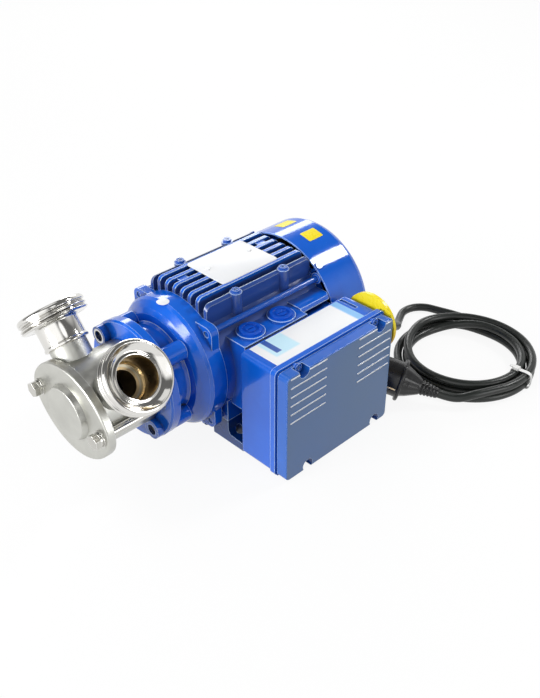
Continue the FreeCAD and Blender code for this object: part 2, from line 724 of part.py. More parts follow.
def make_cover_bolts():
    bolts = []
    washers = []
    seat_x = cover_front - washer_height - spring_washer
    for name, side in (("left", 1), ("right", -1)):
        y, z = head_point(side * cover_bolt_offset)
        head = primitive("Prism", name + "_head", (seat_x - hex_height, y, z), ALONG_X,
                         Polygon=6, Circumradius=hex_flat / (2 * cosine(30)), Height=hex_height)
        shank = rod(name + "_shank", (seat_x, y, z), cover_bolt_radius,
                    flange_back - 2 - seat_x)
        bolts.append(fused(name + "_cover_bolt", head, shank))
        flat = cut(name + "_flat_washer",
                   rod(name + "_flat_disc", (cover_front - washer_height, y, z),
                       washer_radius, washer_height),
                   rod(name + "_flat_hole", (cover_front - washer_height, y, z),
                       cover_bolt_radius + 0.2, washer_height))
        spring = cut(name + "_spring_washer",
                     rod(name + "_spring_disc", (seat_x, y, z), washer_radius - 1.2,
                         spring_washer),
                     rod(name + "_spring_hole", (seat_x, y, z), cover_bolt_radius + 0.1,
                         spring_washer),
                     box(name + "_spring_gap", (seat_x, y - 0.5, z + 3),
                         (spring_washer, 1, 5)))
        washers += [flat, spring]
    keep(group("cover_bolts", *bolts), "cover_bolts")
    keep(group("cover_washers", *washers), "cover_washers")


# Adapter, motor shields and frame

def quarter_points(radius):
    """Four points at 45 degrees about the shaft."""
    half = radius * cosine(45)
    return [(a * half, b * half) for a, b in corner_signs()]


def corner_signs():
    return [(a, b) for a in (-1, 1) for b in (-1, 1)]


def corner_points(offset):
    return [(a * offset, b * offset) for a, b in corner_signs()]


def make_adapter():
    body = new_body("adapter")
    recess = body_spigot + 0.1
    turned(body, "casting", [(flange_front, recess), (flange_front, flange_radius - 2),
                             (flange_front + 2, flange_radius),
                             (flange_back - 1, flange_radius), (flange_back, flange_radius - 1),
                             (flange_back, neck_radius + 3), (flange_back + 3, neck_radius),
                             (motor_face - 3, neck_radius), (motor_face, neck_radius + 2),
                             (motor_face, pilot_radius + 0.1),
                             (motor_face - pilot_length - 0.1, pilot_radius + 0.1),
                             (motor_face - pilot_length - 0.1, neck_bore),
                             (flange_back, neck_bore), (flange_back, throat_bore),
                             (flange_front + 4.2, throat_bore), (flange_front + 4.2, recess)])
    legs = new_sketch(body, "leg_section", "YZ_Plane", leg_front)
    for y, z in quarter_points(leg_circle):
        circle(legs, y, z, leg_radius)
    feature(body, "Pad", "legs", legs, Length=motor_face - leg_front)
    clear = body_radius + run_gap
    turned(body, "body_clearance", [(leg_front - 1, 0), (leg_front - 1, clear),
                                    (flange_front, clear), (flange_front, 0)], cut=True)
    screws = new_sketch(body, "screw_section", "YZ_Plane", leg_front)
    for y, z in quarter_points(leg_circle):
        circle(screws, y, z, 3.3)
    feature(body, "Pocket", "screw_holes", screws, Length=motor_face - leg_front, Reversed=True)
    heads = new_sketch(body, "head_section", "YZ_Plane", leg_front)
    for y, z in quarter_points(leg_circle):
        circle(heads, y, z, 5.4)
    feature(body, "Pocket", "head_recesses", heads, Length=9, Reversed=True)
    bolts = new_sketch(body, "bolt_section", "YZ_Plane", flange_front)
    for side in (-1, 1):
        offset = side * cover_bolt_offset
        circle(bolts, offset * cosine(head_turn), offset * sine(head_turn),
               cover_bolt_radius + 0.1)
    feature(body, "Pocket", "bolt_holes", bolts, Length=flange_thickness + 1, Reversed=True)
    seat(body)
    keep(body, "adapter")


def make_adapter_screws():
    """Socket screws from the legs' recesses into the motor face."""
    screws = []
    for number, (y, z) in enumerate(quarter_points(leg_circle)):
        height = shaft_height + z
        name = "adapter_screw_%d" % number
        head = rod(name + "_head", (leg_front + 3, y, height), 5, 6)
        shank = rod(name + "_shank", (leg_front + 9, y, height), 3,
                    motor_face + 5 - leg_front - 9)
        socket = primitive("Prism", name + "_socket", (leg_front + 3, y, height), ALONG_X,
                           Polygon=6, Circumradius=2.9, Height=3)
        screws.append(cut(name, fused(name + "_blank", head, shank), socket))
    keep(group("adapter_screws", *screws), "adapter_screws")


def square_plate(body, name, start, length):
    """Square plate with round corners about the shaft."""
    sketch = new_sketch(body, name + "_section", "YZ_Plane", start)
    rectangle(sketch, -shield_half, -shield_half, shield_half, shield_half)
    return feature(body, "Pad", name, sketch, Length=length)


def corner_edges(made, start, length):
    """Edges along the shaft at the four corners of the square plate."""
    low = value_of(start)
    long = value_of(length)
    reach = value_of(shield_half)
    found = []
    for number, edge in enumerate(made.Shape.Edges, start=1):
        span = edge.BoundBox
        centre = edge.CenterOfMass
        along = abs(span.XLength - long) < 0.01 and abs(span.XMin - low) < 0.01
        if along and abs(abs(centre.y) - reach) < 0.01 and abs(abs(centre.z) - reach) < 0.01:
            found.append("Edge%d" % number)
    return found


def round_corners(body, made, start, length):
    rounded = body.newObject("PartDesign::Fillet", "corner_rounds")
    rounded.Base = (made, corner_edges(made, start, length))
    bind(rounded, "Radius", lug_round)
    refresh(rounded)


def make_front_shield():
    body = new_body("front_end_shield")
    hub = bearing_outer + 6
    hub_back = front_bearing_x + bearing_width
    inside = motor_face + shield_wall
    plate = square_plate(body, "plate", plate_front, shield_plate)
    round_corners(body, plate, plate_front, shield_plate)
    turned(body, "opening", [(plate_front - 1, 0), (plate_front - 1, frame_bore - 4),
                             (frame_front + 1, frame_bore - 4), (frame_front + 1, 0)], cut=True)
    turned(body, "dome", [(motor_face - pilot_length, drive_shaft + 2),
                          (motor_face - pilot_length, pilot_radius), (motor_face, pilot_radius),
                          (motor_face, drum_radius - 13), (motor_face + 3, drum_radius - 8),
                          (motor_face + 8, drum_radius - 2), (motor_face + 11, drum_radius),
                          (frame_front, drum_radius), (frame_front, frame_bore - mate_gap),
                          (frame_front + spigot_length, frame_bore - mate_gap),
                          (frame_front + spigot_length, frame_bore - 4),
                          (inside + 8, frame_bore - 4), (inside, frame_bore - 14),
                          (inside, hub), (hub_back, hub), (hub_back, bearing_outer + mate_gap),
                          (front_bearing_x, bearing_outer + mate_gap),
                          (front_bearing_x, drive_shaft + 2)])
    screws = new_sketch(body, "screw_section", "YZ_Plane", motor_face)
    for y, z in quarter_points(leg_circle):
        circle(screws, y, z, 3.05)
    feature(body, "Pocket", "tapped_holes", screws, Length=6, Reversed=True)
    ties = new_sketch(body, "tie_section", "YZ_Plane", plate_front)
    for y, z in corner_points(tie_offset):
        circle(ties, y, z, tie_radius + 0.1)
    feature(body, "Pocket", "tie_holes", ties, Length=shield_plate, Reversed=True)
    seat(body)
    keep(body, "front_end_shield")


def frame_blank():
    """Round blank of the fins with four flats and rounded ends."""
    body = new_body("frame_blank")
    outer = new_sketch(body, "fin_envelope", "YZ_Plane", frame_front)
    circle(outer, 0, 0, corner_reach)
    feature(body, "Pad", "round_blank", outer, Length=frame_length)
    flats = new_sketch(body, "flats", "YZ_Plane", frame_front)
    far = corner_reach + 10
    rectangle(flats, -far, -far, far, far)
    rectangle(flats, -fin_reach, -fin_reach, fin_reach, fin_reach)
    feature(body, "Pocket", "flat_sides", flats, Length=frame_length, Reversed=True)
    front = value_of(frame_front)
    back = value_of(frame_back)
    fillet(body, "fin_ends", body.Tip,
           lambda edge: edge.BoundBox.XLength < 0.01
           and min(abs(edge.CenterOfMass.x - front), abs(edge.CenterOfMass.x - back)) < 0.01,
           fin_end_round)
    seat(body)
    return body


def fin_gaps():
    """Slots between the fins: upright ones above and below, level ones at both sides."""
    far = corner_reach + 10
    deep = frame_bore * 0.6
    gaps = []
    count = int(value_of(fin_slots))
    for index in range(count):
        near = (index - (count - 1) / 2) * fin_pitch - fin_gap / 2
        for low in (deep, -far):
            name = "gap_%d" % len(gaps)
            gaps.append(box(name, (frame_front - 1, near, shaft_height + low),
                            (frame_length + 2, fin_gap, far - deep)))
            name = "gap_%d" % len(gaps)
            gaps.append(box(name, (frame_front - 1, low, shaft_height + near),
                            (frame_length + 2, far - deep, fin_gap)))
    return gaps


def corner_reliefs():
    """Square cuts along the four corners, where the tie bolts run free."""
    near = tie_offset - corner_clear
    extent = (frame_length + 2, 40, 40)
    cuts = []
    for a, b in corner_signs():
        y = near if a > 0 else -near - 40
        z = near if b > 0 else -near - 40
        cuts.append(box("corner_relief_%d" % len(cuts),
                        (frame_front - 1, y, shaft_height + z), extent))
    return cuts


def throat_clearance():
    """Cut that ends the side fins where the throat and its screws take their place."""
    far = corner_reach + 10
    deep = frame_bore * 0.6
    reach = throat_top + 5
    return box("throat_clearance", (frame_front - 1, -far, shaft_height - reach),
               (throat_length - throat_front + frame_ahead + 1, far - deep, 2 * reach))


def foot_castings():
    """Cuts that make the flat seats of the feet, the pads above them and their taps."""
    cuts = []
    pads = []
    taps = []
    for side in (-1, 1):
        name = "left" if side > 0 else "right"
        near = foot_inner - 2 if side > 0 else 2 - foot_inner - 50
        cuts.append(box(name + "_seat_cut", (frame_front - 1, near, 0),
                        (frame_length + 2, 50, foot_top)))
        near = foot_inner if side > 0 else -foot_inner - foot_web
        pads.append(box(name + "_foot_pad", (frame_front + pad_inset, near, foot_top),
                        (frame_length - 2 * pad_inset, foot_web, frame_bore * 0.4)))
        for x in foot_screw_stations():
            taps.append(rod(name + "_foot_tap_%d" % len(taps),
                            (x, side * foot_screw_y, foot_top - 1), 3.1,
                            foot_screw_depth + 1.5, ALONG_Z))
    return cuts, pads, taps


def foot_screw_stations():
    reach = foot_spacing / 2 - foot_screw_inset
    return (foot_middle - reach, foot_middle + reach)


def frame_screw_points():
    return [(x, y) for x in (frame_screw_front, frame_screw_back)
            for y in (-frame_screw_y, frame_screw_y)]


def screw_castings():
    """Round bosses of the four top screws, and two flat pads near the frame's ends."""
    low = shaft_height + frame_bore * 0.6
    top = shaft_height + fin_reach - 3
    bosses = []
    taps = []
    for x, y in frame_screw_points():
        bosses.append(rod("screw_boss_%d" % len(bosses), (x, y, low), 6, top - low, ALONG_Z))
        taps.append(rod("screw_tap_%d" % len(taps), (x, y, top - 12), 2.1, 13, ALONG_Z))
    for name, start in (("front", frame_front + 12), ("rear", frame_back - 22)):
        bosses.append(box(name + "_flat_pad", (start, 8, low),
                          (10, 12, shaft_height + fin_reach - 1.5 - low)))
    return bosses, taps


def plug_place(index):
    """X and Y of a plug opening on top of the throat."""
    return (plug_front, plug_rear)[index], plug_outward - (throat_face + barrel_radius) / 2


def throat_castings():
    """Cast throat on the side: open towards the box, with two plug openings on top."""
    start = -throat_front
    low = shaft_height + throat_top - throat_height
    top = shaft_height + throat_top
    wall = throat_wall
    block = box("throat_block", (start, -throat_face, low),
                (throat_length, throat_face - frame_bore * 0.7, throat_height))
    cavity = box("throat_cavity", (start + wall, -throat_face - 1, low + wall),
                 (throat_length - 2 * wall, throat_face - barrel_radius, throat_height - 2 * wall))
    collars = []
    holes = [cavity]
    for index in range(2):
        x, y = plug_place(index)
        collars.append(rod("plug_collar_%d" % index, (x, y, top), collar_circle - 1, 2.5,
                           ALONG_Z))
        holes.append(rod("plug_hole_%d" % index, (x, y, top - wall - 1), plug_circle - 2,
                         wall + 4, ALONG_Z))
    return [block] + collars, holes


def make_motor_frame():
    """Finned aluminium frame: a slotted blank, what is cast onto it, then its bores."""
    foot_cuts, foot_pads, foot_taps = foot_castings()
    bosses, screw_taps = screw_castings()
    throat, throat_cuts = throat_castings()
    fins = cut("fins", frame_blank(), *fin_gaps(), *corner_reliefs(), throat_clearance())
    barrel = rod("barrel", (frame_front, 0, shaft_height), barrel_radius, frame_length)
    tie_holes = []
    for y, z in corner_points(tie_offset):
        tie_holes.append(rod("tie_hole_%d" % len(tie_holes),
                             (frame_front - 1, y, shaft_height + z), tie_radius + 0.2,
                             frame_length + 2))
    casting = fused("frame_casting", fins, barrel, *foot_pads, *bosses, *throat)
    bore = rod("stator_bore", (frame_front - 1, 0, shaft_height), frame_bore, frame_length + 2)
    frame = cut("motor_frame_cut", casting, bore, *foot_cuts, *foot_taps, *screw_taps,
                *tie_holes, *throat_cuts)
    keep(frame, "motor_frame")


def make_rear_shield():
    body = new_body("rear_shield_blank")
    hub = bearing_outer + 6
    inner = rear_bearing_x
    seat_end = inner + bearing_width
    turned(body, "disc", [(frame_back - spigot_length, frame_bore - 4),
                          (frame_back - spigot_length, frame_bore - mate_gap),
                          (frame_back, frame_bore - mate_gap), (frame_back, drum_radius - 2),
                          (shield_back - 2, drum_radius - 2), (shield_back, drum_radius - 5),
                          (shield_back, bearing_bore + 1), (seat_end, bearing_bore + 1),
                          (seat_end, bearing_outer + mate_gap),
                          (inner, bearing_outer + mate_gap), (inner, hub),
                          (shield_back - shield_wall, hub),
                          (shield_back - shield_wall, frame_bore - 4)])
    lugs = new_sketch(body, "lugs", "YZ_Plane", frame_back)
    for y, z in corner_points(tie_offset):
        circle(lugs, y, z, lug_round - 2)
    feature(body, "Pad", "tie_lugs", lugs, Length=shield_plate)
    ties = new_sketch(body, "tie_section", "YZ_Plane", frame_back)
    for y, z in corner_points(tie_offset):
        circle(ties, y, z, tie_radius + 0.1)
    feature(body, "Pocket", "tie_holes", ties, Length=shield_plate, Reversed=True)
    seat(body)
    keep(cut("rear_shield_cut", body, *cowl_holes("shield_tap")), "rear_end_shield")


def make_tie_bolts():
    bolts = []
    for number, (y, z) in enumerate(corner_points(tie_offset)):
        height = shaft_height + z
        name = "tie_bolt_%d" % number
        shank = rod(name + "_shank", (plate_front + 1, y, height), tie_radius,
                    shield_back - plate_front - 1)
        head = primitive("Prism", name + "_head", (shield_back, y, height), ALONG_X,
                         Polygon=6, Circumradius=5.2, Height=4)
        bolts.append(fused(name, shank, head))
    keep(group("tie_bolts", *bolts), "tie_bolts")


def make_stator():
    body = new_body("stator_core")
    inner = core_radius + air_gap
    outer = frame_bore - mate_gap
    turned(body, "stack", [(core_front, inner), (core_front, outer), (core_back, outer),
                           (core_back, inner)])
    seat(body)
    keep(body, "stator_core")
    windings = []
    for name, near, away in (("front_coil", core_front, -1), ("rear_coil", core_back, 1)):
        windings.append(end_winding(name, near, near + away * winding_reach,
                                    inner + 3, outer - 5))
    keep(group("windings", *windings), "stator_windings")


def end_winding(name, near, far, low, high):
    """One end winding, bevelled at its free end."""
    body = new_body(name)
    step = (far - near) / 4
    turned(body, "coil", [(near, low), (near, high), (far - step, high), (far, high - 4),
                          (far, low + 4), (far - step, low)])
    seat(body)
    return body


# Turning line

def make_shaft():
    body = new_body("shaft")
    front = body_front + 3
    shoulder = seal_back + 6
    bearing_start = front_bearing_x
    core_start = front_bearing_x + bearing_width + 3
    core_end = rear_bearing_x - 3
    fan_start = rear_bearing_x + bearing_width + 2
    tail = shield_back + 4 + blade_width + 6
    turned(body, "shaft", [(front, 0), (front, pump_shaft - 1), (front + 1, pump_shaft),
                           (shoulder, pump_shaft), (shoulder, drive_shaft),
                           (bearing_start, drive_shaft), (bearing_start, bearing_bore),
                           (core_start, bearing_bore), (core_start, core_shaft),
                           (core_end, core_shaft), (core_end, bearing_bore),
                           (fan_start, bearing_bore), (fan_start, fan_shaft),
                           (tail - 1, fan_shaft), (tail, fan_shaft - 1), (tail, 0)])
    keyway = new_sketch(body, "keyway_section", "XY_Plane", pump_shaft - 3)
    rectangle(keyway, front + 4, -key_width / 2, front + 34, key_width / 2)
    feature(body, "Pocket", "keyway", keyway, Length=5, Reversed=True)
    seat(body)
    keep(body, "shaft")


def make_hub():
    body = new_body("impeller_hub")
    front = body_front + run_gap
    back = chamber_back - run_gap
    bore = pump_shaft + mate_gap
    turned(body, "hub", [(front, bore), (front, hub_radius), (back, hub_radius), (back, bore)])
    keyway = new_sketch(body, "keyway_section", "XY_Plane", pump_shaft - 2)
    rectangle(keyway, front - 1, -key_width / 2 - mate_gap, back + 1, key_width / 2 + mate_gap)
    feature(body, "Pocket", "keyway", keyway, Length=4.1, Reversed=True)
    seat(body)
    keep(body, "impeller_hub")
    key = box("impeller_key", (body_front + 7, -key_width / 2, shaft_height + pump_shaft - 3),
              (30, key_width, 5))
    keep(key, "impeller_key")


def make_impeller():
    """Rubber impeller: straight vanes with round tips, and one bent over by the cam."""
    front = body_front + run_gap
    back = chamber_back - run_gap
    width = back - front
    body = new_body("impeller")
    hub = new_sketch(body, "root_section", "YZ_Plane", front)
    circle(hub, 0, 0, rubber_root)
    feature(body, "Pad", "root", hub, Length=width)
    reach = chamber_radius - run_gap - tip_radius
    count = int(value_of(vane_count))
    for number in range(1, count):
        turn = 90 + number * 360 / vane_count
        add_vane(body, "vane_%d" % number, front, width, turn, reach)
    bent = cam_radius - run_gap - tip_radius
    add_bent_vane(body, "bent_vane", front, width, bent)
    bore = new_sketch(body, "bore_section", "YZ_Plane", front)
    circle(bore, 0, 0, hub_radius + mate_gap)
    feature(body, "Pocket", "bore", bore, Length=width, Reversed=True)
    seat(body, head_turn)
    keep(body, "impeller")


def add_vane(body, name, front, width, turn, reach):
    """One straight vane: a slab from the root to its round tip."""
    half = vane_thickness / 2
    start = rubber_root - 2
    along = [(start, -half), (reach, -half), (reach, half), (start, half)]
    points = [(u * cosine(turn) - v * sine(turn), u * sine(turn) + v * cosine(turn))
              for u, v in along]
    sketch = new_sketch(body, name + "_slab", "YZ_Plane", front)
    polygon(sketch, points)
    feature(body, "Pad", name, sketch, Length=width)
    tip = new_sketch(body, name + "_tip", "YZ_Plane", front)
    circle(tip, reach * cosine(turn), reach * sine(turn), tip_radius)
    feature(body, "Pad", name + "_bead", tip, Length=width)


def add_bent_vane(body, name, front, width, reach):
    """The vane under the cam leans over, so that its tip clears the cam face."""
    lean = 24
    half = vane_thickness / 2
    foot = rubber_root - 2
    tip_y = reach * sine(lean)
    tip_z = reach * cosine(lean)
    sketch = new_sketch(body, name + "_slab", "YZ_Plane", front)
    polygon(sketch, [(-half, foot), (half, foot), (half + 1, foot + 4),
                     (tip_y + half * 0.4, tip_z - half), (tip_y - half * 0.4, tip_z + half),
                     (-half + 0.6, foot + 6)])
    feature(body, "Pad", name, sketch, Length=width)
    tip = new_sketch(body, name + "_tip", "YZ_Plane", front)
    circle(tip, tip_y, tip_z, tip_radius)
    feature(body, "Pad", name + "_bead", tip, Length=width)


def make_seals():
    seat_front = seal_back - 6
    ring("seal_seat", seat_front, seal_back, pump_shaft + 1.5, seal_radius - mate_gap)
    ring("seal_rotary", chamber_back + 5, seat_front - 0.05, pump_shaft + mate_gap, hub_radius)
    ring("seal_spring", chamber_back, chamber_back + 5, pump_shaft + 1, hub_radius - 1)
    slinger_x = motor_face - 14
    ring("shaft_slinger", slinger_x, slinger_x + 3, drive_shaft + mate_gap, 19)


def make_bearings():
    gap = run_gap / 2
    middle = (bearing_bore + bearing_outer) / 2 - 1.8
    for name, start in (("front", front_bearing_x), ("rear", rear_bearing_x)):
        back = start + bearing_width
        ring(name + "_bearing", start, back, middle + gap, bearing_outer)
        ring(name + "_bearing_inner", start, back, bearing_bore + mate_gap, middle - gap)


def make_rotor():
    body = new_body("rotor_core")
    bore = core_shaft + mate_gap
    ends = 7
    turned(body, "core", [(core_front - ends, bore), (core_front - ends, core_radius - 6),
                          (core_front, core_radius - 3), (core_front, core_radius),
                          (core_back, core_radius), (core_back, core_radius - 3),
                          (core_back + ends, core_radius - 6), (core_back + ends, bore)])
    seat(body)
    keep(body, "rotor_core")


def make_fan():
    front = shield_back + 4
    back = front + blade_width
    bore = fan_shaft + mate_gap
    body = new_body("fan")
    turned(body, "hub", [(front, bore), (front, fan_hub), (back - 4, fan_hub),
                         (back - 2, fan_radius * 0.55), (back - 1, fan_radius - 2),
                         (back, fan_radius - 2), (back, bore)])
    blade = new_sketch(body, "blade_section", "YZ_Plane", front)
    rectangle(blade, -1, fan_hub - 1, 1, fan_radius)
    made = feature(body, "Pad", "blade", blade, Length=blade_width)
    polar(body, "blades", made, "X_Axis", fan_blades)
    seat(body)
    keep(body, "fan")
    ring("fan_circlip", back, back + 1.2, fan_shaft + mate_gap, fan_shaft + 3)


def make_cowl():
    body = new_body("cowl_blank")
    front = frame_back
    back = cowl_back
    bend = cowl_round * 0.3
    turned(body, "shell", [(front, cowl_radius - cowl_wall), (front, cowl_radius),
                           (back - cowl_round, cowl_radius), (back - bend, cowl_radius - bend),
                           (back, cowl_radius - cowl_round), (back, 0), (back - cowl_wall, 0),
                           (back - cowl_wall, cowl_radius - cowl_round - cowl_wall * 0.4),
                           (back - bend - cowl_wall, cowl_radius - bend - cowl_wall),
                           (back - cowl_round, cowl_radius - cowl_wall)])
    slot = new_sketch(body, "slot_section", "YZ_Plane", back)
    rectangle(slot, -slot_width / 2, slot_inner, slot_width / 2, slot_outer)
    made = feature(body, "Pocket", "slot", slot, Length=cowl_wall + 1)
    polar(body, "slots", made, "X_Axis", cowl_slots)
    seat(body)
    keep(cut("fan_cowl_cut", body, *cowl_holes("cowl_hole")), "fan_cowl")


# Feet

def make_foot(label, side):
    """One bolted foot, drawn at +Y and turned round for the other side."""
    body = new_body(label)
    section = new_sketch(body, "section", "YZ_Plane", foot_start)
    polygon(section, [(foot_inner, 0), (foot_outer, 0), (foot_outer, foot_sole),
                      (foot_inner + foot_web + 3, foot_sole + 1),
                      (foot_inner + foot_web, foot_sole + 5), (foot_inner + foot_web, foot_top),
                      (foot_inner, foot_top)])
    feature(body, "Pad", "bracket", section, Length=foot_end - foot_start)
    holes = new_sketch(body, "hole_section", "XY_Plane")
    for x in (foot_middle - foot_spacing / 2, foot_middle + foot_spacing / 2):
        circle(holes, x, foot_span / 2, foot_hole)
    feature(body, "Pocket", "holes", holes, Length=foot_sole + 6, Reversed=True)
    screws = new_sketch(body, "screw_section", "XY_Plane")
    for x in foot_screw_stations():
        circle(screws, x, foot_screw_y, 3.3)
    feature(body, "Pocket", "screw_holes", screws, Length=foot_top, Reversed=True)
    recess = new_sketch(body, "recess_section", "XY_Plane")
    for x in foot_screw_stations():
        circle(recess, x, foot_screw_y, 5.4)
    feature(body, "Pocket", "recesses", recess, Length=8, Reversed=True)
    if side < 0:
        place(body, 2 * foot_middle, 0, 0, lay=Rotation(Vector(0, 0, 1), 180))
    else:
        place(body, 0, 0, 0)
    keep(body, label)


def make_foot_screws():
    screws = []
    for x in foot_screw_stations():
        for side in (-1, 1):
            y = side * foot_screw_y
            name = "foot_screw_%d" % len(screws)
            head = rod(name + "_head", (x, y, 2), 5, 6, ALONG_Z)
            shank = rod(name + "_shank", (x, y, 8), 3, foot_top + foot_screw_depth - 8,
                        ALONG_Z)
            screws.append(fused(name, head, shank))
    keep(group("foot_screws", *screws), "foot_screws")


# Capacitor box on the side

def box_left():
    return -box_front


def box_right():
    return box_length - box_front


def box_back_y():
    return -(throat_face + gasket)


def lid_seat_y():
    return box_back_y() - box_depth


def lid_face_y():
    return lid_seat_y() - gasket - lid_thickness


def screw_seat_y():
    """Where the lid screws' heads sit."""
    return lid_seat_y() - gasket - notch_floor


def along_y_edges(made, left, right, low, high):
    """Edges along Y at the four corners of a rectangular block."""
    found = []
    for number, edge in enumerate(made.Shape.Edges, start=1):
        span = edge.BoundBox
        x = edge.CenterOfMass.x
        z = edge.CenterOfMass.z
        at_x = min(abs(x - value_of(left)), abs(x - value_of(right))) < 0.01
        at_z = min(abs(z - value_of(low)), abs(z - value_of(high))) < 0.01
        if span.XLength < 0.01 and span.ZLength < 0.01 and at_x and at_z:
            found.append("Edge%d" % number)
    return found


def rounded_block(body, name, start, length, left, low, right, high, radius):
    """Block from a Y station towards -Y with rounded edges along Y."""
    sketch = new_sketch(body, name + "_section", "XZ_Plane", -start)
    rectangle(sketch, left, low, right, high)
    made = feature(body, "Pad", name, sketch, Length=length)
    rounded = body.newObject("PartDesign::Fillet", name + "_rounds")
    rounded.Base = (made, along_y_edges(made, left, right, low, high))
    bind(rounded, "Radius", radius)
    refresh(rounded)
    return rounded


def lid_screw_points():
    """X and Z of the four lid screws."""
    high = box_top - notch_top_inset
    low = box_top - box_height + notch_low_inset
    return [(notch_low_front, low), (notch_back, low), (notch_top_front, high),
            (notch_back, high)]


def make_terminal_box():
    body = new_body("terminal_box")
    left = box_left()
    right = box_right()
    low = box_top - box_height
    back = box_back_y()
    mouth = lid_seat_y()
    shell = rounded_block(body, "shell", back, box_depth, left, low, right, box_top, box_round)
    back_at = value_of(back)
    fillet(body, "back_edge", shell,
           lambda edge: abs(edge.BoundBox.YMin - back_at) < 0.01
           and abs(edge.BoundBox.YMax - back_at) < 0.01, 2.5)
    rim = new_sketch(body, "rim_section", "XZ_Plane", -(mouth + rim_width))
    rectangle(rim, left - rim_lip, low, right + rim_lip, box_top + rim_lip)
    made = feature(body, "Pad", "rim", rim, Length=rim_width)
    rounded = body.newObject("PartDesign::Fillet", "rim_rounds")
    rounded.Base = (made, along_y_edges(made, left - rim_lip, right + rim_lip, low,
                                        box_top + rim_lip))
    bind(rounded, "Radius", box_round)
    refresh(rounded)
    inside = new_sketch(body, "inside_section", "XZ_Plane", -mouth)
    rectangle(inside, left + box_wall, low + box_wall, right - box_wall, box_top - box_wall)
    feature(body, "Pocket", "cavity", inside, Length=box_depth - box_wall)
    posts = new_sketch(body, "post_section", "XZ_Plane", -(mouth + rim_width))
    for x, z in lid_screw_points():
        circle(posts, x, z, post_radius)
    feature(body, "Pad", "screw_posts", posts, Length=rim_width + gasket + notch_floor)
    taps = new_sketch(body, "tap_section", "XZ_Plane", -screw_seat_y())
    for x, z in lid_screw_points():
        circle(taps, x, z, 1.6)
    feature(body, "Pocket", "screw_taps", taps, Length=rim_width)
    window = new_sketch(body, "window_section", "XZ_Plane", -back)
    rectangle(window, -throat_front + 20, box_top - 50, -throat_front + 60, box_top - 22)
    feature(body, "Pocket", "wire_window", window, Length=box_wall + 1, Reversed=True)
    for name, y, z, radius in (("gland_hole", gland_y, gland_z, gland_thread + mate_gap),
                               ("switch_hole", switch_y, switch_z, switch_neck + mate_gap)):
        hole = new_sketch(body, name + "_section", "YZ_Plane", right)
        circle(hole, -y, z, radius)
        feature(body, "Pocket", name, hole, Length=box_wall + 1)
    slots = new_sketch(body, "slot_section", "XY_Plane", box_top)
    for x in (left + slot_front, right - slot_rear):
        rectangle(slots, x, back - 3 - slot_length, x + 4, back - 3)
    feature(body, "Pocket", "label_slots", slots, Length=1.2)
    keep(body, "terminal_box")


def make_lid_gasket():
    body = new_body("lid_gasket")
    left = box_left() + 0.5
    right = box_right() - 0.5
    low = box_top - box_height + 0.5
    high = box_top - 0.5
    sketch = new_sketch(body, "section", "XZ_Plane", -lid_seat_y())
    rectangle(sketch, left, low, right, high)
    rectangle(sketch, left + box_wall, low + box_wall, right - box_wall, high - box_wall)
    feature(body, "Pad", "gasket", sketch, Length=gasket)
    posts = new_sketch(body, "post_section", "XZ_Plane", -lid_seat_y())
    for x, z in lid_screw_points():
        circle(posts, x, z, post_radius + 0.2)
    feature(body, "Pocket", "post_holes", posts, Length=gasket, Reversed=True)
    keep(body, "lid_gasket")


def make_box_lid():
    body = new_body("lid_blank")
    left = box_left() - rim_lip + lid_inset
    right = box_right() + rim_lip - lid_inset
    low = box_top - box_height
    high = box_top
    seat_y = lid_seat_y() - gasket
    face = lid_face_y()
    plate = rounded_block(body, "plate", seat_y, lid_thickness, left, low, right, high, box_round)
    face_at = value_of(face)
    fillet(body, "face_edge", plate,
           lambda edge: abs(edge.BoundBox.YMin - face_at) < 0.01
           and abs(edge.BoundBox.YMax - face_at) < 0.01, 1.2)
    add_louvres(body, left, right, high, face)
    lands = []
    notches = []
    for number, (x, z) in enumerate(lid_screw_points()):
        behind = (x, seat_y + 1, z)
        lands.append(rod("notch_land_%d" % number, behind, notch_radius + 2.5,
                         lid_thickness + 2, TOWARDS_LID))
        notches.append(rod("notch_%d" % number, (x, screw_seat_y(), z), notch_radius,
                           lid_thickness, TOWARDS_LID))
        notches.append(rod("post_hole_%d" % number, behind, post_radius + 0.2,
                           notch_floor + 2, TOWARDS_LID))
    hollow = box("lid_hollow", (left + box_wall, seat_y - lid_thickness + box_wall,
                                low + box_wall),
                 (right - left - 2 * box_wall, lid_thickness - box_wall + 1,
                  high - low - 2 * box_wall))
    lid = cut("box_lid_cut", body, cut("lid_cavity", hollow, *lands), *notches)
    keep(lid, "box_lid")


def add_louvres(body, left, right, high, face):
    """Six raised lines on each side of the lid."""
    first = high - 1.6
    for name, near in (("front", left + 4), ("rear", right - 4 - louvre_length)):
        line = new_sketch(body, name + "_louvre", "XZ_Plane", -face)
        rectangle(line, near, first - 1, near + louvre_length, first)
        made = feature(body, "Pad", name + "_line", line, Length=0.8)
        span = louvre_pitch * (louvre_count - 1)
        linear(body, name + "_lines", made, line, "V_Axis", span, louvre_count, back=True)


def cross_head(name, where, radius, height, lay, bars):
    """Pan head with a cross recess cut by two bars, each given as its corner and extent."""
    head = rod(name + "_head", where, radius, height, lay)
    recess = [box("%s_bar_%d" % (name, number), *bar) for number, bar in enumerate(bars)]
    return cut(name + "_cross", head, *recess)


def make_lid_screws():
    screws = []
    top = screw_seat_y()
    reach = rim_width - 1
    for number, (x, z) in enumerate(lid_screw_points()):
        name = "lid_screw_%d" % number
        bars = [((x - 2.2, top - 2.6, z - 0.5), (4.4, 1.2, 1)),
                ((x - 0.5, top - 2.6, z - 2.2), (1, 1.2, 4.4))]
        head = cross_head(name, (x, top, z), 4, 2.6, TOWARDS_LID, bars)
        shank = rod(name + "_shank", (x, top + reach, z), 1.5, reach + 0.5, TOWARDS_LID)
        screws.append(fused(name, head, shank))
    keep(group("lid_screws", *screws), "lid_screws")


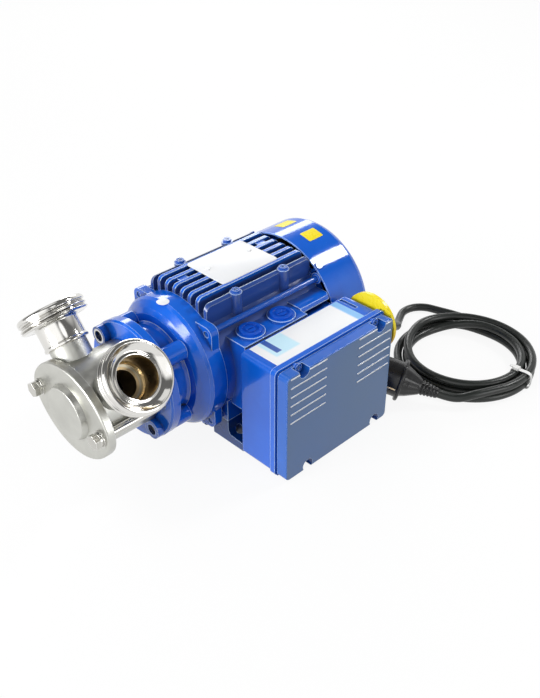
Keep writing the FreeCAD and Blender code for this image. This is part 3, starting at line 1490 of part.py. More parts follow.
def make_throat_gasket():
    body = new_body("throat_gasket")
    start = -throat_front
    low = shaft_height + throat_top - throat_height
    high = shaft_height + throat_top
    sketch = new_sketch(body, "section", "XZ_Plane", throat_face)
    rectangle(sketch, start + 1, low + 1, start + throat_length - 1, high - 1)
    rectangle(sketch, start + 4, low + 4, start + throat_length - 4, high - 4)
    feature(body, "Pad", "gasket", sketch, Length=gasket)
    keep(body, "throat_gasket")


def make_blanking_plugs():
    plugs = []
    top = shaft_height + throat_top + 2.5
    for number in range(2):
        x, y = plug_place(number)
        name = "blanking_plug_%d" % number
        flange = rod(name + "_flange", (x, y, top), plug_circle, 2.5, ALONG_Z)
        neck = rod(name + "_neck", (x, y, top - 6), plug_circle - 2 - mate_gap, 6, ALONG_Z)
        recess = rod(name + "_recess", (x, y, top + 1), plug_circle - 3, 2, ALONG_Z)
        core = rod(name + "_core", (x, y, top + 0.5), plug_circle - 6, 1.5, ALONG_Z)
        slot = box(name + "_slot", (x - 4, y - 0.8, top + 1), (8, 1.6, 2))
        blank = fused(name + "_blank", cut(name + "_cup", fused(name + "_body", flange, neck),
                                           recess), core)
        plugs.append(cut(name, blank, slot))
    keep(group("blanking_plugs", *plugs), "blanking_plugs")


def make_plates():
    """Blank plates: the name plate on the fins and the label on the box."""
    top = shaft_height + fin_reach
    plate = box("name_plate_blank", (plate_middle - plate_length / 2, -plate_width / 2, top),
                (plate_length, plate_width, sheet_metal))
    holes = []
    rivets = []
    for side in (-1, 1):
        x = plate_middle + side * 27
        y = fin_pitch / 2
        holes.append(rod("rivet_hole_%d" % (side + 1), (x, y, top), 1.5, sheet_metal, ALONG_Z))
        head = rod("rivet_head_%d" % (side + 1), (x, y, top + sheet_metal), 2.6, 1, ALONG_Z)
        stem = rod("rivet_stem_%d" % (side + 1), (x, y, top), 1.45, sheet_metal, ALONG_Z)
        rivets.append(fused("rivet_%d" % (side + 1), head, stem))
    keep(cut("name_plate_cut", plate, *holes), "name_plate")
    keep(group("plate_rivets", *rivets), "plate_rivets")
    y = box_back_y() - box_depth + rim_width + 1
    label = box("box_label_blank", (box_left() + 9, y, box_top),
                (box_length - 27, box_depth - rim_width - 4, 0.3))
    keep(label, "box_label")


def make_frame_screws():
    screws = []
    top = shaft_height + fin_reach - 3
    for number, (x, y) in enumerate(frame_screw_points()):
        name = "frame_screw_%d" % number
        bars = [((x - 2.4, y - 0.5, top + 1.4), (4.8, 1, 1.2)),
                ((x - 0.5, y - 2.4, top + 1.4), (1, 4.8, 1.2))]
        head = cross_head(name, (x, y, top), 4, 2.6, ALONG_Z, bars)
        shank = rod(name + "_shank", (x, y, top - 10), 2, 10.5, ALONG_Z)
        screws.append(fused(name, head, shank))
    keep(group("frame_screws", *screws), "frame_screws")


def cowl_rods(name, start, length, radius):
    """Four radial rods where the cowl is screwed to the rear shield."""
    rods = []
    x = frame_back + shield_plate / 2
    for turn in (cowl_screw_turn, 180 - cowl_screw_turn, 180 + cowl_screw_turn,
                 360 - cowl_screw_turn):
        lay = Rotation(Vector(1, 0, 0), turn).multiply(ALONG_Y)
        rods.append(rod("%s_%d" % (name, turn),
                        (x, start * cosine(turn), shaft_height + start * sine(turn)),
                        radius, length, lay))
    return rods


def cowl_holes(name):
    return cowl_rods(name, cowl_screw_start - 1, cowl_radius - cowl_screw_start + 2, 2.05)


def make_cowl_screws():
    """Four screws through the cowl into the rear shield's edge."""
    heads = cowl_rods("cowl_screw_head", cowl_radius, 2, 4)
    shanks = cowl_rods("cowl_screw_shank", cowl_screw_start, cowl_radius - cowl_screw_start, 2)
    screws = [fused("cowl_screw_%d" % number, head, shank)
              for number, (head, shank) in enumerate(zip(heads, shanks))]
    keep(group("cowl_screws", *screws), "cowl_screws")


def make_box_contents():
    """Capacitor on the box floor and the terminal block above it."""
    back = box_back_y() - box_wall
    x = box_left() + 12
    y = back - capacitor_radius - 0.3
    z = box_top - box_height + 8.7 + capacitor_radius
    can = rod("capacitor_can", (x, y, z), capacitor_radius, capacitor_length)
    cap = rod("capacitor_cap", (x + capacitor_length, y, z), capacitor_radius - 3, 4)
    keep(fused("capacitor_fused", can, cap), "capacitor")
    low = z + capacitor_radius + block_gap
    base = box("block_base", (block_start, back - block_depth, low),
               (block_length, block_depth, block_height))
    studs = [rod("block_stud_%d" % index,
                 (block_start + 6 + stud_pitch * index, back - block_depth,
                  low + block_height / 2), 3, 5, TOWARDS_LID) for index in range(6)]
    keep(fused("terminal_block_fused", base, *studs), "terminal_block")


def make_switch():
    right = box_right()
    base = new_body("switch_base")
    face = switch_step + switch_depth
    turned(base, "collar", [(-12, pivot_bore), (-12, switch_neck), (0, switch_neck),
                            (0, switch_neck + 1.2), (switch_step, switch_neck + 1.2),
                            (switch_step, switch_radius), (face - 1.5, switch_radius),
                            (face, switch_radius - 1.5), (face, pivot_bore)])
    place(base, right, -switch_y, switch_z)
    keep(base, "switch_base")
    knob = new_body("switch_knob")
    front = face + run_gap
    stem = pivot_bore - pivot_gap
    turned(knob, "disc", [(-10, 0), (-10, stem), (front, stem), (front, knob_radius),
                          (front + 6, knob_radius - 1), (front + 7, knob_radius - 2.5),
                          (front + 7, 0)])
    grip = new_sketch(knob, "grip_section", "YZ_Plane", front + 6)
    rectangle(grip, -3.5, -knob_radius + 3, 3.5, knob_radius - 3)
    feature(knob, "Pad", "grip", grip, Length=knob_depth - 6)
    place(knob, right, -switch_y, switch_z)
    keep(knob, "switch_knob")


def make_gland():
    right = box_right()
    gland = new_body("cable_gland")
    turned(gland, "thread", [(-10, cord_radius + 0.4), (-10, gland_thread), (0, gland_thread),
                             (0, gland_hex - 0.5), (5, gland_hex - 0.5), (5, cord_radius + 0.4)])
    place(gland, right, -gland_y, gland_z)
    keep(gland, "cable_gland")
    nut = primitive("Prism", "gland_nut_hex", (right + 5, -gland_y, gland_z), ALONG_X,
                    Polygon=6, Circumradius=gland_hex, Height=11)
    bore = rod("gland_nut_bore", (right + 5, -gland_y, gland_z), cord_radius + 0.4, 11)
    keep(cut("gland_nut_cut", nut, bore), "gland_nut")
    boot = new_body("cable_boot")
    turned(boot, "boot", [(-12, 0), (-12, cord_radius + 0.2), (0, cord_radius + 0.2), (0, 8.5),
                          (4, 8.5), (boot_length, cord_radius + 1), (boot_length, 0)])
    place(boot, right + 16, -gland_y, gland_z)
    keep(boot, "cable_boot")


# Mains cord and plug

def cord_start():
    return (value_of(box_right()) + 16 + value_of(boot_length), -value_of(gland_y),
            value_of(gland_z))


def rounded_route(points, label):
    """Straight runs joined by tangent arcs; prints each arc's radius in diameters."""
    share = 0.45
    stops = [Vector(*point) for point in points]
    edges = []
    here = stops[0]
    radii = []
    for before, corner, after in zip(stops, stops[1:], stops[2:]):
        into = (corner - before).normalize()
        out = (after - corner).normalize()
        half = into.getAngle(out) / 2
        cutback = share * min((corner - before).Length, (after - corner).Length)
        radius = cutback / math.tan(half)
        radii.append(radius / (2 * value_of(cord_radius)))
        start = corner - into * cutback
        end = corner + out * cutback
        inward = (out - into).normalize()
        middle = corner + inward * (radius / math.cos(half) - radius)
        edges.append(Part.LineSegment(here, start).toShape())
        edges.append(Part.Arc(start, middle, end).toShape())
        here = end
    edges.append(Part.LineSegment(here, stops[-1]).toShape())
    print(label, "radii in diameters:", [round(radius, 1) for radius in radii])
    return Part.Wire(edges)


def make_tube(points, label):
    """Round tube along a rounded route, checked against section times length."""
    route = rounded_route(points, label)
    radius = value_of(cord_radius)
    start = Vector(*points[0])
    heading = Vector(*points[1]) - start
    section = Part.Wire(Part.makeCircle(radius, start, heading))
    tube = route.makePipeShell([section], True, True)
    expected = math.pi * radius ** 2 * route.Length
    print(label, "length", round(route.Length, 1), "volume ratio",
          round(tube.Volume / expected, 4))
    if abs(tube.Volume / expected - 1) > 0.01:
        raise ValueError(label + " tube has the wrong volume")
    return tube


def make_cord():
    start = cord_start()
    lead = [start, (start[0] + 16, start[1], start[2]), (154, -88.5, 53), (170.5, -79, 41.5),
            (185, -67, 27.5), (200, -56.5, 15.5), (215, -46.5, 7.5), (230, -37.8, 5),
            (245, -30.5, 4.6), (260.8, -32.7, 4.6), (272.9, -43.2, 4.6), (277.4, -58.7, 4.6),
            (282.7, -74.9, 4.6), (286.2, -91.5, 4.6), (286.8, -108.5, 4.8),
            (283.8, -125.2, 6), (277.4, -141, 8)]
    tail = [plug_point(plug_neck), plug_point(plug_neck + 11), (146, -184.5, 9.2),
            (157, -192.5, 9), (170.5, -197.5, 9)]
    cable = doc.addObject("Part::Feature", "cable")
    cable.Shape = Part.makeCompound([make_tube(lead, "lead"), make_tube(tail, "tail")])
    keep(cable, "cable")
    coil = doc.addObject("Part::Feature", "cable_coil")
    inner = value_of(coil_inner)
    outer = value_of(coil_outer)
    height = value_of(coil_height)
    disc = Part.makeCylinder(outer, height).cut(Part.makeCylinder(inner, height))
    rims = [edge for edge in disc.Edges if len(edge.Vertexes) == 1]
    coil.Shape = disc.makeFillet(4, rims)
    place(coil, coil_x, coil_y, 0)
    keep(coil, "cable_coil")
    band = value_of(tie_band)
    width = 5
    frame = Part.makeBox(outer - inner + 2 * band, width, height + band)
    hole = Part.makeBox(outer - inner, width, height - band)
    hole.translate(Vector(band, 0, band))
    tie = doc.addObject("Part::Feature", "cable_tie")
    tie.Shape = frame.cut(hole)
    turn = Rotation(Vector(0, 0, 1), -82)
    corner = turn.multVec(Vector(inner - band, -width / 2, 0))
    place(tie, coil_x + corner.x, coil_y + corner.y, 0, lay=turn)
    keep(tie, "cable_tie")


def plug_turn():
    """Turns the plug's own X axis from its pins towards its cord."""
    level = Rotation(Vector(0, 0, 1), value_of(plug_angle))
    return level.multiply(Rotation(Vector(0, 1, 0), value_of(plug_tilt)))


def plug_point(distance):
    """Point on the plug's axis, measured from the middle of its collar towards the cord."""
    middle = Vector(value_of(plug_x), value_of(plug_y), value_of(plug_collar))
    point = middle + plug_turn().multVec(Vector(value_of(distance), 0, 0))
    return (point.x, point.y, point.z)


def make_plug():
    body = new_body("plug")
    face = -plug_body
    pin_radius = 2.4
    pin_offset = 9.5
    pin_free = 19
    pin_seated = 8
    turned(body, "moulding", [(face, 0), (face, plug_radius), (-2, plug_radius),
                              (-2, plug_collar - 1), (-1, plug_collar), (1, plug_collar),
                              (2, plug_collar - 1), (2, plug_radius - 2), (8, plug_radius - 4),
                              (18, plug_radius - 9), (20, plug_radius - 10.5),
                              (plug_neck, cord_radius + 0.6), (plug_neck, 0)])
    sockets = new_sketch(body, "socket_section", "YZ_Plane", face)
    for side in (-1, 1):
        circle(sockets, side * pin_offset, 0, pin_radius + 0.02)
    feature(body, "Pocket", "pin_sockets", sockets, Length=pin_seated, Reversed=True)
    pins = new_body("plug_pins")
    pair = new_sketch(pins, "pin_section", "YZ_Plane", face - pin_free)
    for side in (-1, 1):
        circle(pair, side * pin_offset, 0, pin_radius)
    feature(pins, "Pad", "pins", pair, Length=pin_free + pin_seated)
    for item, label in ((body, "plug"), (pins, "plug_pins")):
        place(item, plug_x, plug_y, plug_collar, lay=plug_turn())
        keep(item, label)


# Write the parts

def check_document():
    doc.recompute()
    for item in doc.Objects:
        if "Invalid" in item.State or "Error" in item.State:
            raise ValueError(item.Name + " failed: " + str(item.State))
    for item in kept:
        shape = item.Shape
        if shape.isNull() or not shape.isValid():
            raise ValueError(item.Label + " has no valid shape")


make_front_cover()
make_pump_body()
for port in PORTS:
    make_coupling(*port)
make_oring()
make_cover_bolts()
make_adapter()
make_adapter_screws()
make_front_shield()
make_motor_frame()
make_rear_shield()
make_tie_bolts()
make_stator()
make_shaft()
make_hub()
make_impeller()
make_seals()
make_bearings()
make_rotor()
make_fan()
make_cowl()
make_foot("foot_left", 1)
make_foot("foot_right", -1)
make_foot_screws()
make_terminal_box()
make_lid_gasket()
make_box_lid()
make_lid_screws()
make_throat_gasket()
make_blanking_plugs()
make_plates()
make_frame_screws()
make_cowl_screws()
make_box_contents()
make_switch()
make_gland()
make_cord()
make_plug()

check_document()
os.makedirs("parts", exist_ok=True)
for item in kept:
    item.Shape.exportStep("parts/" + item.Label + ".step")
print("wrote", len(kept), "parts")
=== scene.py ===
"""Looks of a flexible impeller pump set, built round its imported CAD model.

Sizes and places are in mm, and MM turns them into metres. The camera, the studio and the cord's
points outside its coil are in metres.
"""

import itertools
import math

import bmesh
import bpy
from mathutils import Matrix, Vector


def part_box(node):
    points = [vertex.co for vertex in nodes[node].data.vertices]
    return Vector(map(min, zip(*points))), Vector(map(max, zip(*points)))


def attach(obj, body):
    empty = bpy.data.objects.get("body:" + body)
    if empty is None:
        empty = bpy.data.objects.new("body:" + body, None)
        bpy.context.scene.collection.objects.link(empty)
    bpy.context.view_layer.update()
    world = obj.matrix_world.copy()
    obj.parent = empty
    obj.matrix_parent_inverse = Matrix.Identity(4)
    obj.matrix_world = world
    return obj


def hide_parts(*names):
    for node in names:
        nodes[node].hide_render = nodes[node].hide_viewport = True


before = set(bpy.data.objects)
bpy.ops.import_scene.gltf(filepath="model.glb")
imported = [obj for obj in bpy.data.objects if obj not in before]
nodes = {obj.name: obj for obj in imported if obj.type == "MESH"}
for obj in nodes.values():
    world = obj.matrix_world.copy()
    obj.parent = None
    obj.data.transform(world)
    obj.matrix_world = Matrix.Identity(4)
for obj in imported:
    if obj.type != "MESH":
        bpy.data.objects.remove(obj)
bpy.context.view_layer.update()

scene = bpy.context.scene
MM = 0.001


# Places and sizes that several pieces share, most of them the CAD's

SHAFT_HEIGHT = 80
PORT_X = -170
HEAD_TURN = 4.5
PORT_ANGLE = 45
INLET_REACH = 97.5
OUTLET_REACH = 91.5
PORT_BORE = 19
STUB_BORE = 15
SEAT_DEPTH = 6.2
COWL_RADIUS = 78
DRUM_RADIUS = 66.5
CORD_RADIUS = 4.6
COIL_CENTRE = (215, -140)


def port_axis(side):
    """Direction of a port: side is 1 for the one over -Y and -1 for the one over +Y."""
    lean = math.radians(HEAD_TURN + side * PORT_ANGLE)
    return Vector((0, -math.sin(lean), math.cos(lean)))


INLET = port_axis(1)
OUTLET = port_axis(-1)


# Camera, fitted to the photo

CAMERA_EYE = (-0.51285, -0.57342, 0.57592)
CAMERA_AHEAD = (0.57981, 0.58897, -0.56297)
CAMERA_RIGHT = (0.71238, -0.70179, -0.00051)
CAMERA_LENS = 46.42
SENSOR_WIDTH = 36


def add_camera():
    ahead = Vector(CAMERA_AHEAD).normalized()
    right = Vector(CAMERA_RIGHT).normalized()
    turn = Matrix((right, right.cross(ahead), -ahead)).transposed()
    data = bpy.data.cameras.new("photo_camera")
    data.lens = CAMERA_LENS
    data.sensor_width = SENSOR_WIDTH
    camera = bpy.data.objects.new("photo_camera", data)
    camera.matrix_world = Matrix.Translation(CAMERA_EYE) @ turn.to_4x4()
    scene.collection.objects.link(camera)
    scene.camera = camera


# Node trees

class Graph:
    """Short forms for building a node tree."""

    def __init__(self, tree):
        self.tree = tree

    def add(self, kind, **values):
        node = self.tree.nodes.new(kind)
        for key, value in values.items():
            setattr(node, key, value)
        return node

    def link(self, start, end):
        self.tree.links.new(start, end)

    def feed(self, inputs, *values):
        """Give each input a number, a vector or another node's output."""
        for socket, value in zip(inputs, values):
            if isinstance(value, bpy.types.NodeSocket):
                self.link(value, socket)
            else:
                socket.default_value = value

    def maths(self, operation, first, second=0):
        node = self.add("ShaderNodeMath", operation=operation)
        self.feed(node.inputs, first, second)
        return node.outputs["Value"]

    def product(self, first, *others):
        for other in others:
            first = self.maths("MULTIPLY", first, other)
        return first

    def vector(self, operation, *values):
        node = self.add("ShaderNodeVectorMath", operation=operation)
        self.feed(node.inputs, *values)
        return node.outputs["Value" if operation in ("DOT_PRODUCT", "LENGTH") else "Vector"]

    def ranged(self, value, low, high, start=0.3, end=0.7):
        """Level that goes from low to high while a value goes from start to end."""
        node = self.add("ShaderNodeMapRange")
        names = ("Value", "From Min", "From Max", "To Min", "To Max")
        self.feed([node.inputs[name] for name in names], value, start, end, low, high)
        return node.outputs["Result"]

    def blended(self, share, under, over):
        """Two colours mixed by a 0 to 1 share of the second."""
        node = self.add("ShaderNodeMix", data_type="RGBA")
        self.feed([node.inputs[name] for name in ("Factor", "A", "B")], share, under, over)
        return node.outputs["Result"]


COAT_ROUGHNESS = 0.03


class Shader(Graph):
    """A node material on object coordinates, with one Principled BSDF. Its lengths are in mm."""

    def __init__(self, name, colour, roughness, metallic=0.0, ior=1.5, coat=0.0):
        self.material = bpy.data.materials.new(name)
        self.material.use_nodes = True
        super().__init__(self.material.node_tree)
        self.bsdf = self.tree.nodes["Principled BSDF"]
        self.colour = (*colour, 1)
        for socket, value in (("Base Color", self.colour), ("Roughness", roughness),
                              ("Metallic", metallic), ("IOR", ior), ("Coat Weight", coat),
                              ("Coat Roughness", COAT_ROUGHNESS)):
            self.bsdf.inputs[socket].default_value = value
        self.place = self.add("ShaderNodeTexCoord").outputs["Object"]

    def axes(self):
        """The object coordinates in mm, one output each."""
        split = self.add("ShaderNodeSeparateXYZ")
        self.link(self.place, split.inputs[0])
        return [self.product(part, 1 / MM) for part in split.outputs]

    def from_port(self, axis):
        """Offset in metres from where the ports' axes meet the shaft, and its part along one axis."""
        offset = self.vector("SUBTRACT", self.place, (PORT_X * MM, 0, SHAFT_HEIGHT * MM))
        return offset, self.vector("DOT_PRODUCT", offset, axis)

    def noise(self, scale, detail=3, place=None):
        """Noise of so many waves to the metre."""
        node = self.add("ShaderNodeTexNoise")
        node.inputs["Scale"].default_value = scale
        node.inputs["Detail"].default_value = detail
        self.link(self.place if place is None else place, node.inputs["Vector"])
        return node.outputs["Fac"]

    def openness(self, reach, inside=False):
        """1 where the piece is open, or thick if measured inside, and less near corners or edges."""
        node = self.add("ShaderNodeAmbientOcclusion", samples=4, inside=inside, only_local=True)
        node.inputs["Distance"].default_value = reach * MM
        return node.outputs["AO"]

    def within(self, value, low, high, soft=0.4):
        """1 between two limits, 0 outside them."""
        return self.product(self.ranged(value, 0, 1, low - soft, low + soft),
                            self.ranged(value, 1, 0, high - soft, high + soft))

    def paint(self, share, other):
        """Mix another colour in by a 0 to 1 share."""
        base = self.bsdf.inputs["Base Color"]
        under = base.links[0].from_socket if base.is_linked else self.colour
        self.link(self.blended(share, under, (*other, 1)), base)

    def tint(self, value, other, start, end, most):
        """Colour that drifts towards another one while a value goes from start to end."""
        self.paint(self.ranged(value, 0, most, start, end), other)

    def rough(self, value, low, high):
        self.link(self.ranged(value, low, high), self.bsdf.inputs["Roughness"])

    def bump(self, value, height, strength):
        node = self.add("ShaderNodeBump")
        node.inputs["Strength"].default_value = strength
        node.inputs["Distance"].default_value = height * MM
        self.link(value, node.inputs["Height"])
        normal = self.bsdf.inputs["Normal"]
        if normal.is_linked:
            self.link(normal.links[0].from_socket, node.inputs["Normal"])
        self.link(node.outputs["Normal"], normal)
        if self.bsdf.inputs["Coat Weight"].default_value > 0:
            self.link(node.outputs["Normal"], self.bsdf.inputs["Coat Normal"])

    def soft_edges(self, radius):
        """Edges that catch the light as cast and pressed edges do."""
        node = self.add("ShaderNodeBevel", samples=4)
        node.inputs["Radius"].default_value = radius * MM
        self.link(node.outputs["Normal"], self.bsdf.inputs["Normal"])

    def edge_highlight(self, radius, other, most):
        """Painted highlight: lighter along outer edges, where they would catch the light."""
        self.tint(self.openness(radius, inside=True), other, start=0.95, end=0.75, most=most)

    def corner_shade(self, reach, other, most):
        """Painted shade: darker in corners and gaps, where less light reaches."""
        self.tint(self.openness(reach), other, start=0.8, end=0.32, most=most)


# Colours

BLUE = (0.004, 0.125, 0.68)
DARK_BLUE = (0.002, 0.09, 0.55)
PALE_BLUE = (0.015, 0.17, 0.78)
# Near black blue for painted shade in corners and gaps.
CORNER_SHADE_BLUE = (0.0006, 0.005, 0.032)
# Pale blue for painted highlights along enamel edges.
EDGE_HIGHLIGHT_BLUE = (0.55, 0.74, 1.0)
LID_BLUE = (0.012, 0.12, 0.52)
# Slate for the painted shade and floor reflection on the lid's face.
SHADED_SLATE = (0.05, 0.145, 0.34)
# Near white for the painted highlight on the lid's rim.
RIM_HIGHLIGHT_WHITE = (0.93, 0.96, 1.0)
# Navy for painted shade on the fins' flanks, and a deeper one for the gaps between them.
FLANK_SHADE_NAVY = (0.035, 0.055, 0.17)
GAP_SHADE_NAVY = (0.012, 0.035, 0.14)
YELLOW = (0.95, 0.78, 0.02)
# Orange for the painted shade low on the switch.
SHADED_ORANGE = (0.9, 0.4, 0.01)
POLISHED = (0.76, 0.75, 0.72)
BLASTED = (0.58, 0.58, 0.54)
CHAMPAGNE = (0.6, 0.5, 0.34)
BARE_METAL = (0.62, 0.62, 0.6)
# Near white for painted highlights along metal edges.
METAL_EDGE_HIGHLIGHT = (0.95, 0.95, 0.93)


def darker(colour, share):
    return tuple(part * share for part in colour)


# Materials

def enamel(name, colour, dark=DARK_BLUE, pale=PALE_BLUE, roughness=0.1, edge=0.6, shade_share=1.0,
           reach=16, deep=CORNER_SHADE_BLUE, highlight_share=0.75):
    """Sprayed gloss enamel: orange peel, slow colour drift, painted highlights along edges, painted
    shade in corners.
    """
    made = Shader(name, colour, roughness, coat=0.3)
    made.soft_edges(edge)
    made.tint(made.noise(14), dark, start=0.42, end=0.68, most=0.45)
    made.tint(made.noise(55, 5), pale, start=0.5, end=0.75, most=0.25)
    # Painted shade in corners and gaps.
    made.corner_shade(reach, deep, most=shade_share)
    # Painted highlight along outer edges.
    made.edge_highlight(edge, EDGE_HIGHLIGHT_BLUE, most=highlight_share)
    made.rough(made.noise(90, 4), roughness - 0.04, roughness + 0.05)
    made.bump(made.noise(420, 2), height=0.06, strength=0.2)
    made.bump(made.noise(60, 2), height=0.6, strength=0.06)
    return made


def metal(name, colour, roughness, spread=0.06, grain=2600, depth=0.02, edge=0.4):
    """Bare metal with a slow drift, painted shade in its corners, painted highlights along its edges and
    a fine grain.
    """
    made = Shader(name, colour, roughness, metallic=1.0)
    made.soft_edges(edge)
    made.tint(made.noise(35, 4), darker(colour, 0.8), start=0.4, end=0.7, most=0.6)
    # Painted shade in corners.
    made.corner_shade(4, darker(colour, 0.3), most=0.8)
    # Painted highlight along edges.
    made.edge_highlight(edge, METAL_EDGE_HIGHLIGHT, most=0.7)
    made.rough(made.noise(160, 4), roughness - spread, roughness + spread)
    made.bump(made.noise(grain, 2), depth, strength=0.5)
    return made


def plastic(name, colour, roughness, spread=0.06, grain=1500, depth=0.03, other=None):
    """Moulded plastic or rubber with a slow drift and a fine grain."""
    made = Shader(name, colour, roughness, ior=1.48)
    made.soft_edges(0.5)
    made.tint(made.noise(40, 4), other or darker(colour, 0.75), start=0.4, end=0.7, most=0.5)
    made.rough(made.noise(220, 4), roughness - spread, roughness + spread)
    made.bump(made.noise(grain, 3), depth, strength=0.6)
    return made


def tool_marks(made, axis):
    """Noise that is the same all round a port's axis."""
    offset, along = made.from_port(axis)
    both = made.add("ShaderNodeCombineXYZ")
    made.feed(both.inputs, made.vector("LENGTH", offset), made.product(along, 1.5))
    return made.noise(1600, 4, both.outputs["Vector"])


def about_port(made, axis):
    """Distances in mm from a port's axis, and along it from the shaft."""
    offset, along = made.from_port(axis)
    radius = made.vector("LENGTH", made.vector("CROSS_PRODUCT", offset, axis))
    return made.product(radius, 1 / MM), made.product(along, 1 / MM)


def in_bore(made, radius, bore):
    """1 inside a bore and on its wall, 0 further out."""
    return made.ranged(radius, 1, 0, start=bore + 0.2, end=bore + 0.6)


def turned_steel(name, axis, reach):
    """Polished and turned about one port, with warmer and duller metal down its bore."""
    made = Shader(name, POLISHED, 0.16, metallic=1.0)
    made.soft_edges(0.3)
    made.tint(made.noise(35, 4), (0.66, 0.65, 0.62), start=0.4, end=0.7, most=0.5)
    # Painted shade in its corners and grooves.
    made.corner_shade(3, (0.16, 0.15, 0.13), most=0.85)
    made.bump(tool_marks(made, axis), height=0.015, strength=0.5)
    radius, along = about_port(made, axis)
    below_seat = made.ranged(along, 1, 0, start=reach - SEAT_DEPTH - 0.2, end=reach - SEAT_DEPTH + 0.8)
    inside = made.product(in_bore(made, radius, PORT_BORE), below_seat)
    made.paint(inside, CHAMPAGNE)
    rough = made.ranged(made.noise(160, 4), 0.07, 0.14)
    made.link(made.maths("ADD", rough, made.product(inside, 0.14)), made.bsdf.inputs["Roughness"])
    return made


def blasted_steel(name):
    return metal(name, BLASTED, 0.38, grain=3200, depth=0.04)


def cast_steel():
    """Blasted body, with its port bores turned and warmer."""
    made = blasted_steel("blasted_body")
    for axis in (INLET, OUTLET):
        radius, along = about_port(made, axis)
        made.paint(made.product(in_bore(made, radius, STUB_BORE), made.within(along, 0, 200)), CHAMPAGNE)
    return made


# Where the painted shade on the fins' flanks fades: at their tips, down the barrel and towards the
# throat.
FIN_TIPS = (70.5, 72)
BARREL_TOP = (97, 104)
THROAT_SIDE = (-61, -57)


def frame_enamel():
    """Enamel of the ribbed frame, with navy painted shade down the upper fins' flanks and in the gaps
    between fins.
    """
    # Deep navy painted shade in the gaps between the fins, and full painted highlights on their edges.
    made = enamel("frame_enamel", BLUE, roughness=0.12, edge=0.8, shade_share=0.6, reach=20,
                  deep=GAP_SHADE_NAVY, highlight_share=1.0)
    _, y, z = made.axes()
    away = made.maths("MAXIMUM", made.maths("ABSOLUTE", y), made.maths("SUBTRACT", z, SHAFT_HEIGHT))
    # Navy painted shade on the fins' flanks, below their tips.
    share = made.product(made.ranged(away, 0.75, 0, *FIN_TIPS), made.ranged(z, 0, 1, *BARREL_TOP),
                         made.ranged(y, 0, 1, *THROAT_SIDE))
    made.paint(share, FLANK_SHADE_NAVY)
    return made


# Limits along Y of the rim that stands round the lid's face, painted near white as a highlight.
LID_RIM = (-142, -140.15)


def lid_enamel():
    """Satin paint of the lid: blue round its sides, slate on its face as painted shade and a painted
    reflection of the pale floor, and a painted highlight on its rim.
    """
    made = enamel("lid_enamel", LID_BLUE, roughness=0.2, edge=0.5, shade_share=0.4)
    normal = made.add("ShaderNodeSeparateXYZ")
    made.link(made.add("ShaderNodeNewGeometry").outputs["Normal"], normal.inputs[0])
    face = made.ranged(normal.outputs["Y"], 1, 0, start=-0.97, end=-0.8)
    drift = made.ranged(made.noise(9, 2), 0.8, 1, start=0.35, end=0.65)
    flat = made.ranged(made.openness(0.6, inside=True), 0, 1, start=0.8, end=0.95)
    # Slate on the face that looks to -Y: painted shade with a painted reflection of the pale floor.
    made.paint(made.product(face, drift, flat), SHADED_SLATE)
    _, y, _ = made.axes()
    # Near white on the rim: a painted highlight.
    made.paint(made.within(y, *LID_RIM, 0.1), RIM_HIGHLIGHT_WHITE)
    return made


# Zones of the box film: limits along X and along Y, softness of the edges and colour.
FILM_ZONES = (((-47, -17), (-109, -83), 1, (0.55, 0.8, 0.92)),
              ((52, 80), (-130, -70), 1, (0.22, 0.5, 0.86)),
              # The last zone is the slot: the box's blue, darkened as painted shade in its recess.
              ((-42.5, -36), (-104.5, -81.5), 0.4, (0.01, 0.08, 0.4)))


def label_film():
    """White film with pale blue ends and one dark blue slot, darkened as painted shade of its recess."""
    made = plastic("label_film", (0.86, 0.87, 0.88), 0.4, other=(0.83, 0.85, 0.87))
    x, y, _ = made.axes()
    for wide, deep, soft, colour in FILM_ZONES:
        made.paint(made.product(made.within(x, *wide, soft), made.within(y, *deep, soft)), colour)
    return made


# The adapter's screws beside and above the shaft, the bare ring round each, and the face it is on.
SCREW_OFFSET = 35.36
SCREW_RING = (2, 7.4)
ADAPTER_FACE = (-140, -136.4)


def adapter_enamel():
    """Enamel with a bare ring round each screw, where the paint stops; below the shaft the rings mostly
    fade into the enamel as painted shade.
    """
    made = enamel("blue_enamel_adapter", BLUE)
    x, y, z = made.axes()
    side = made.maths("SUBTRACT", made.maths("ABSOLUTE", y), SCREW_OFFSET)
    above = made.maths("ABSOLUTE", made.maths("SUBTRACT", z, SHAFT_HEIGHT))
    height = made.maths("SUBTRACT", above, SCREW_OFFSET)
    away = made.maths("SQRT", made.maths("ADD", made.product(side, side), made.product(height, height)))
    # Below the shaft the bare rings fall to a small share: painted shade on the lower screws.
    ring = made.product(made.within(away, *SCREW_RING), made.within(x, *ADAPTER_FACE, 0.2),
                        made.ranged(z, 0.15, 1, start=SHAFT_HEIGHT - 10, end=SHAFT_HEIGHT + 10))
    made.paint(ring, BARE_METAL)
    made.link(ring, made.bsdf.inputs["Metallic"])
    return made


def yellow_plastic():
    """Signal yellow that turns orange towards the foot of the switch's disc, as painted shade."""
    made = plastic("yellow_plastic", YELLOW, 0.28, other=(0.93, 0.7, 0.02))
    # Painted shade: orange towards the lower part of the switch.
    made.tint(made.axes()[2], SHADED_ORANGE, start=108, end=84, most=0.8)
    return made


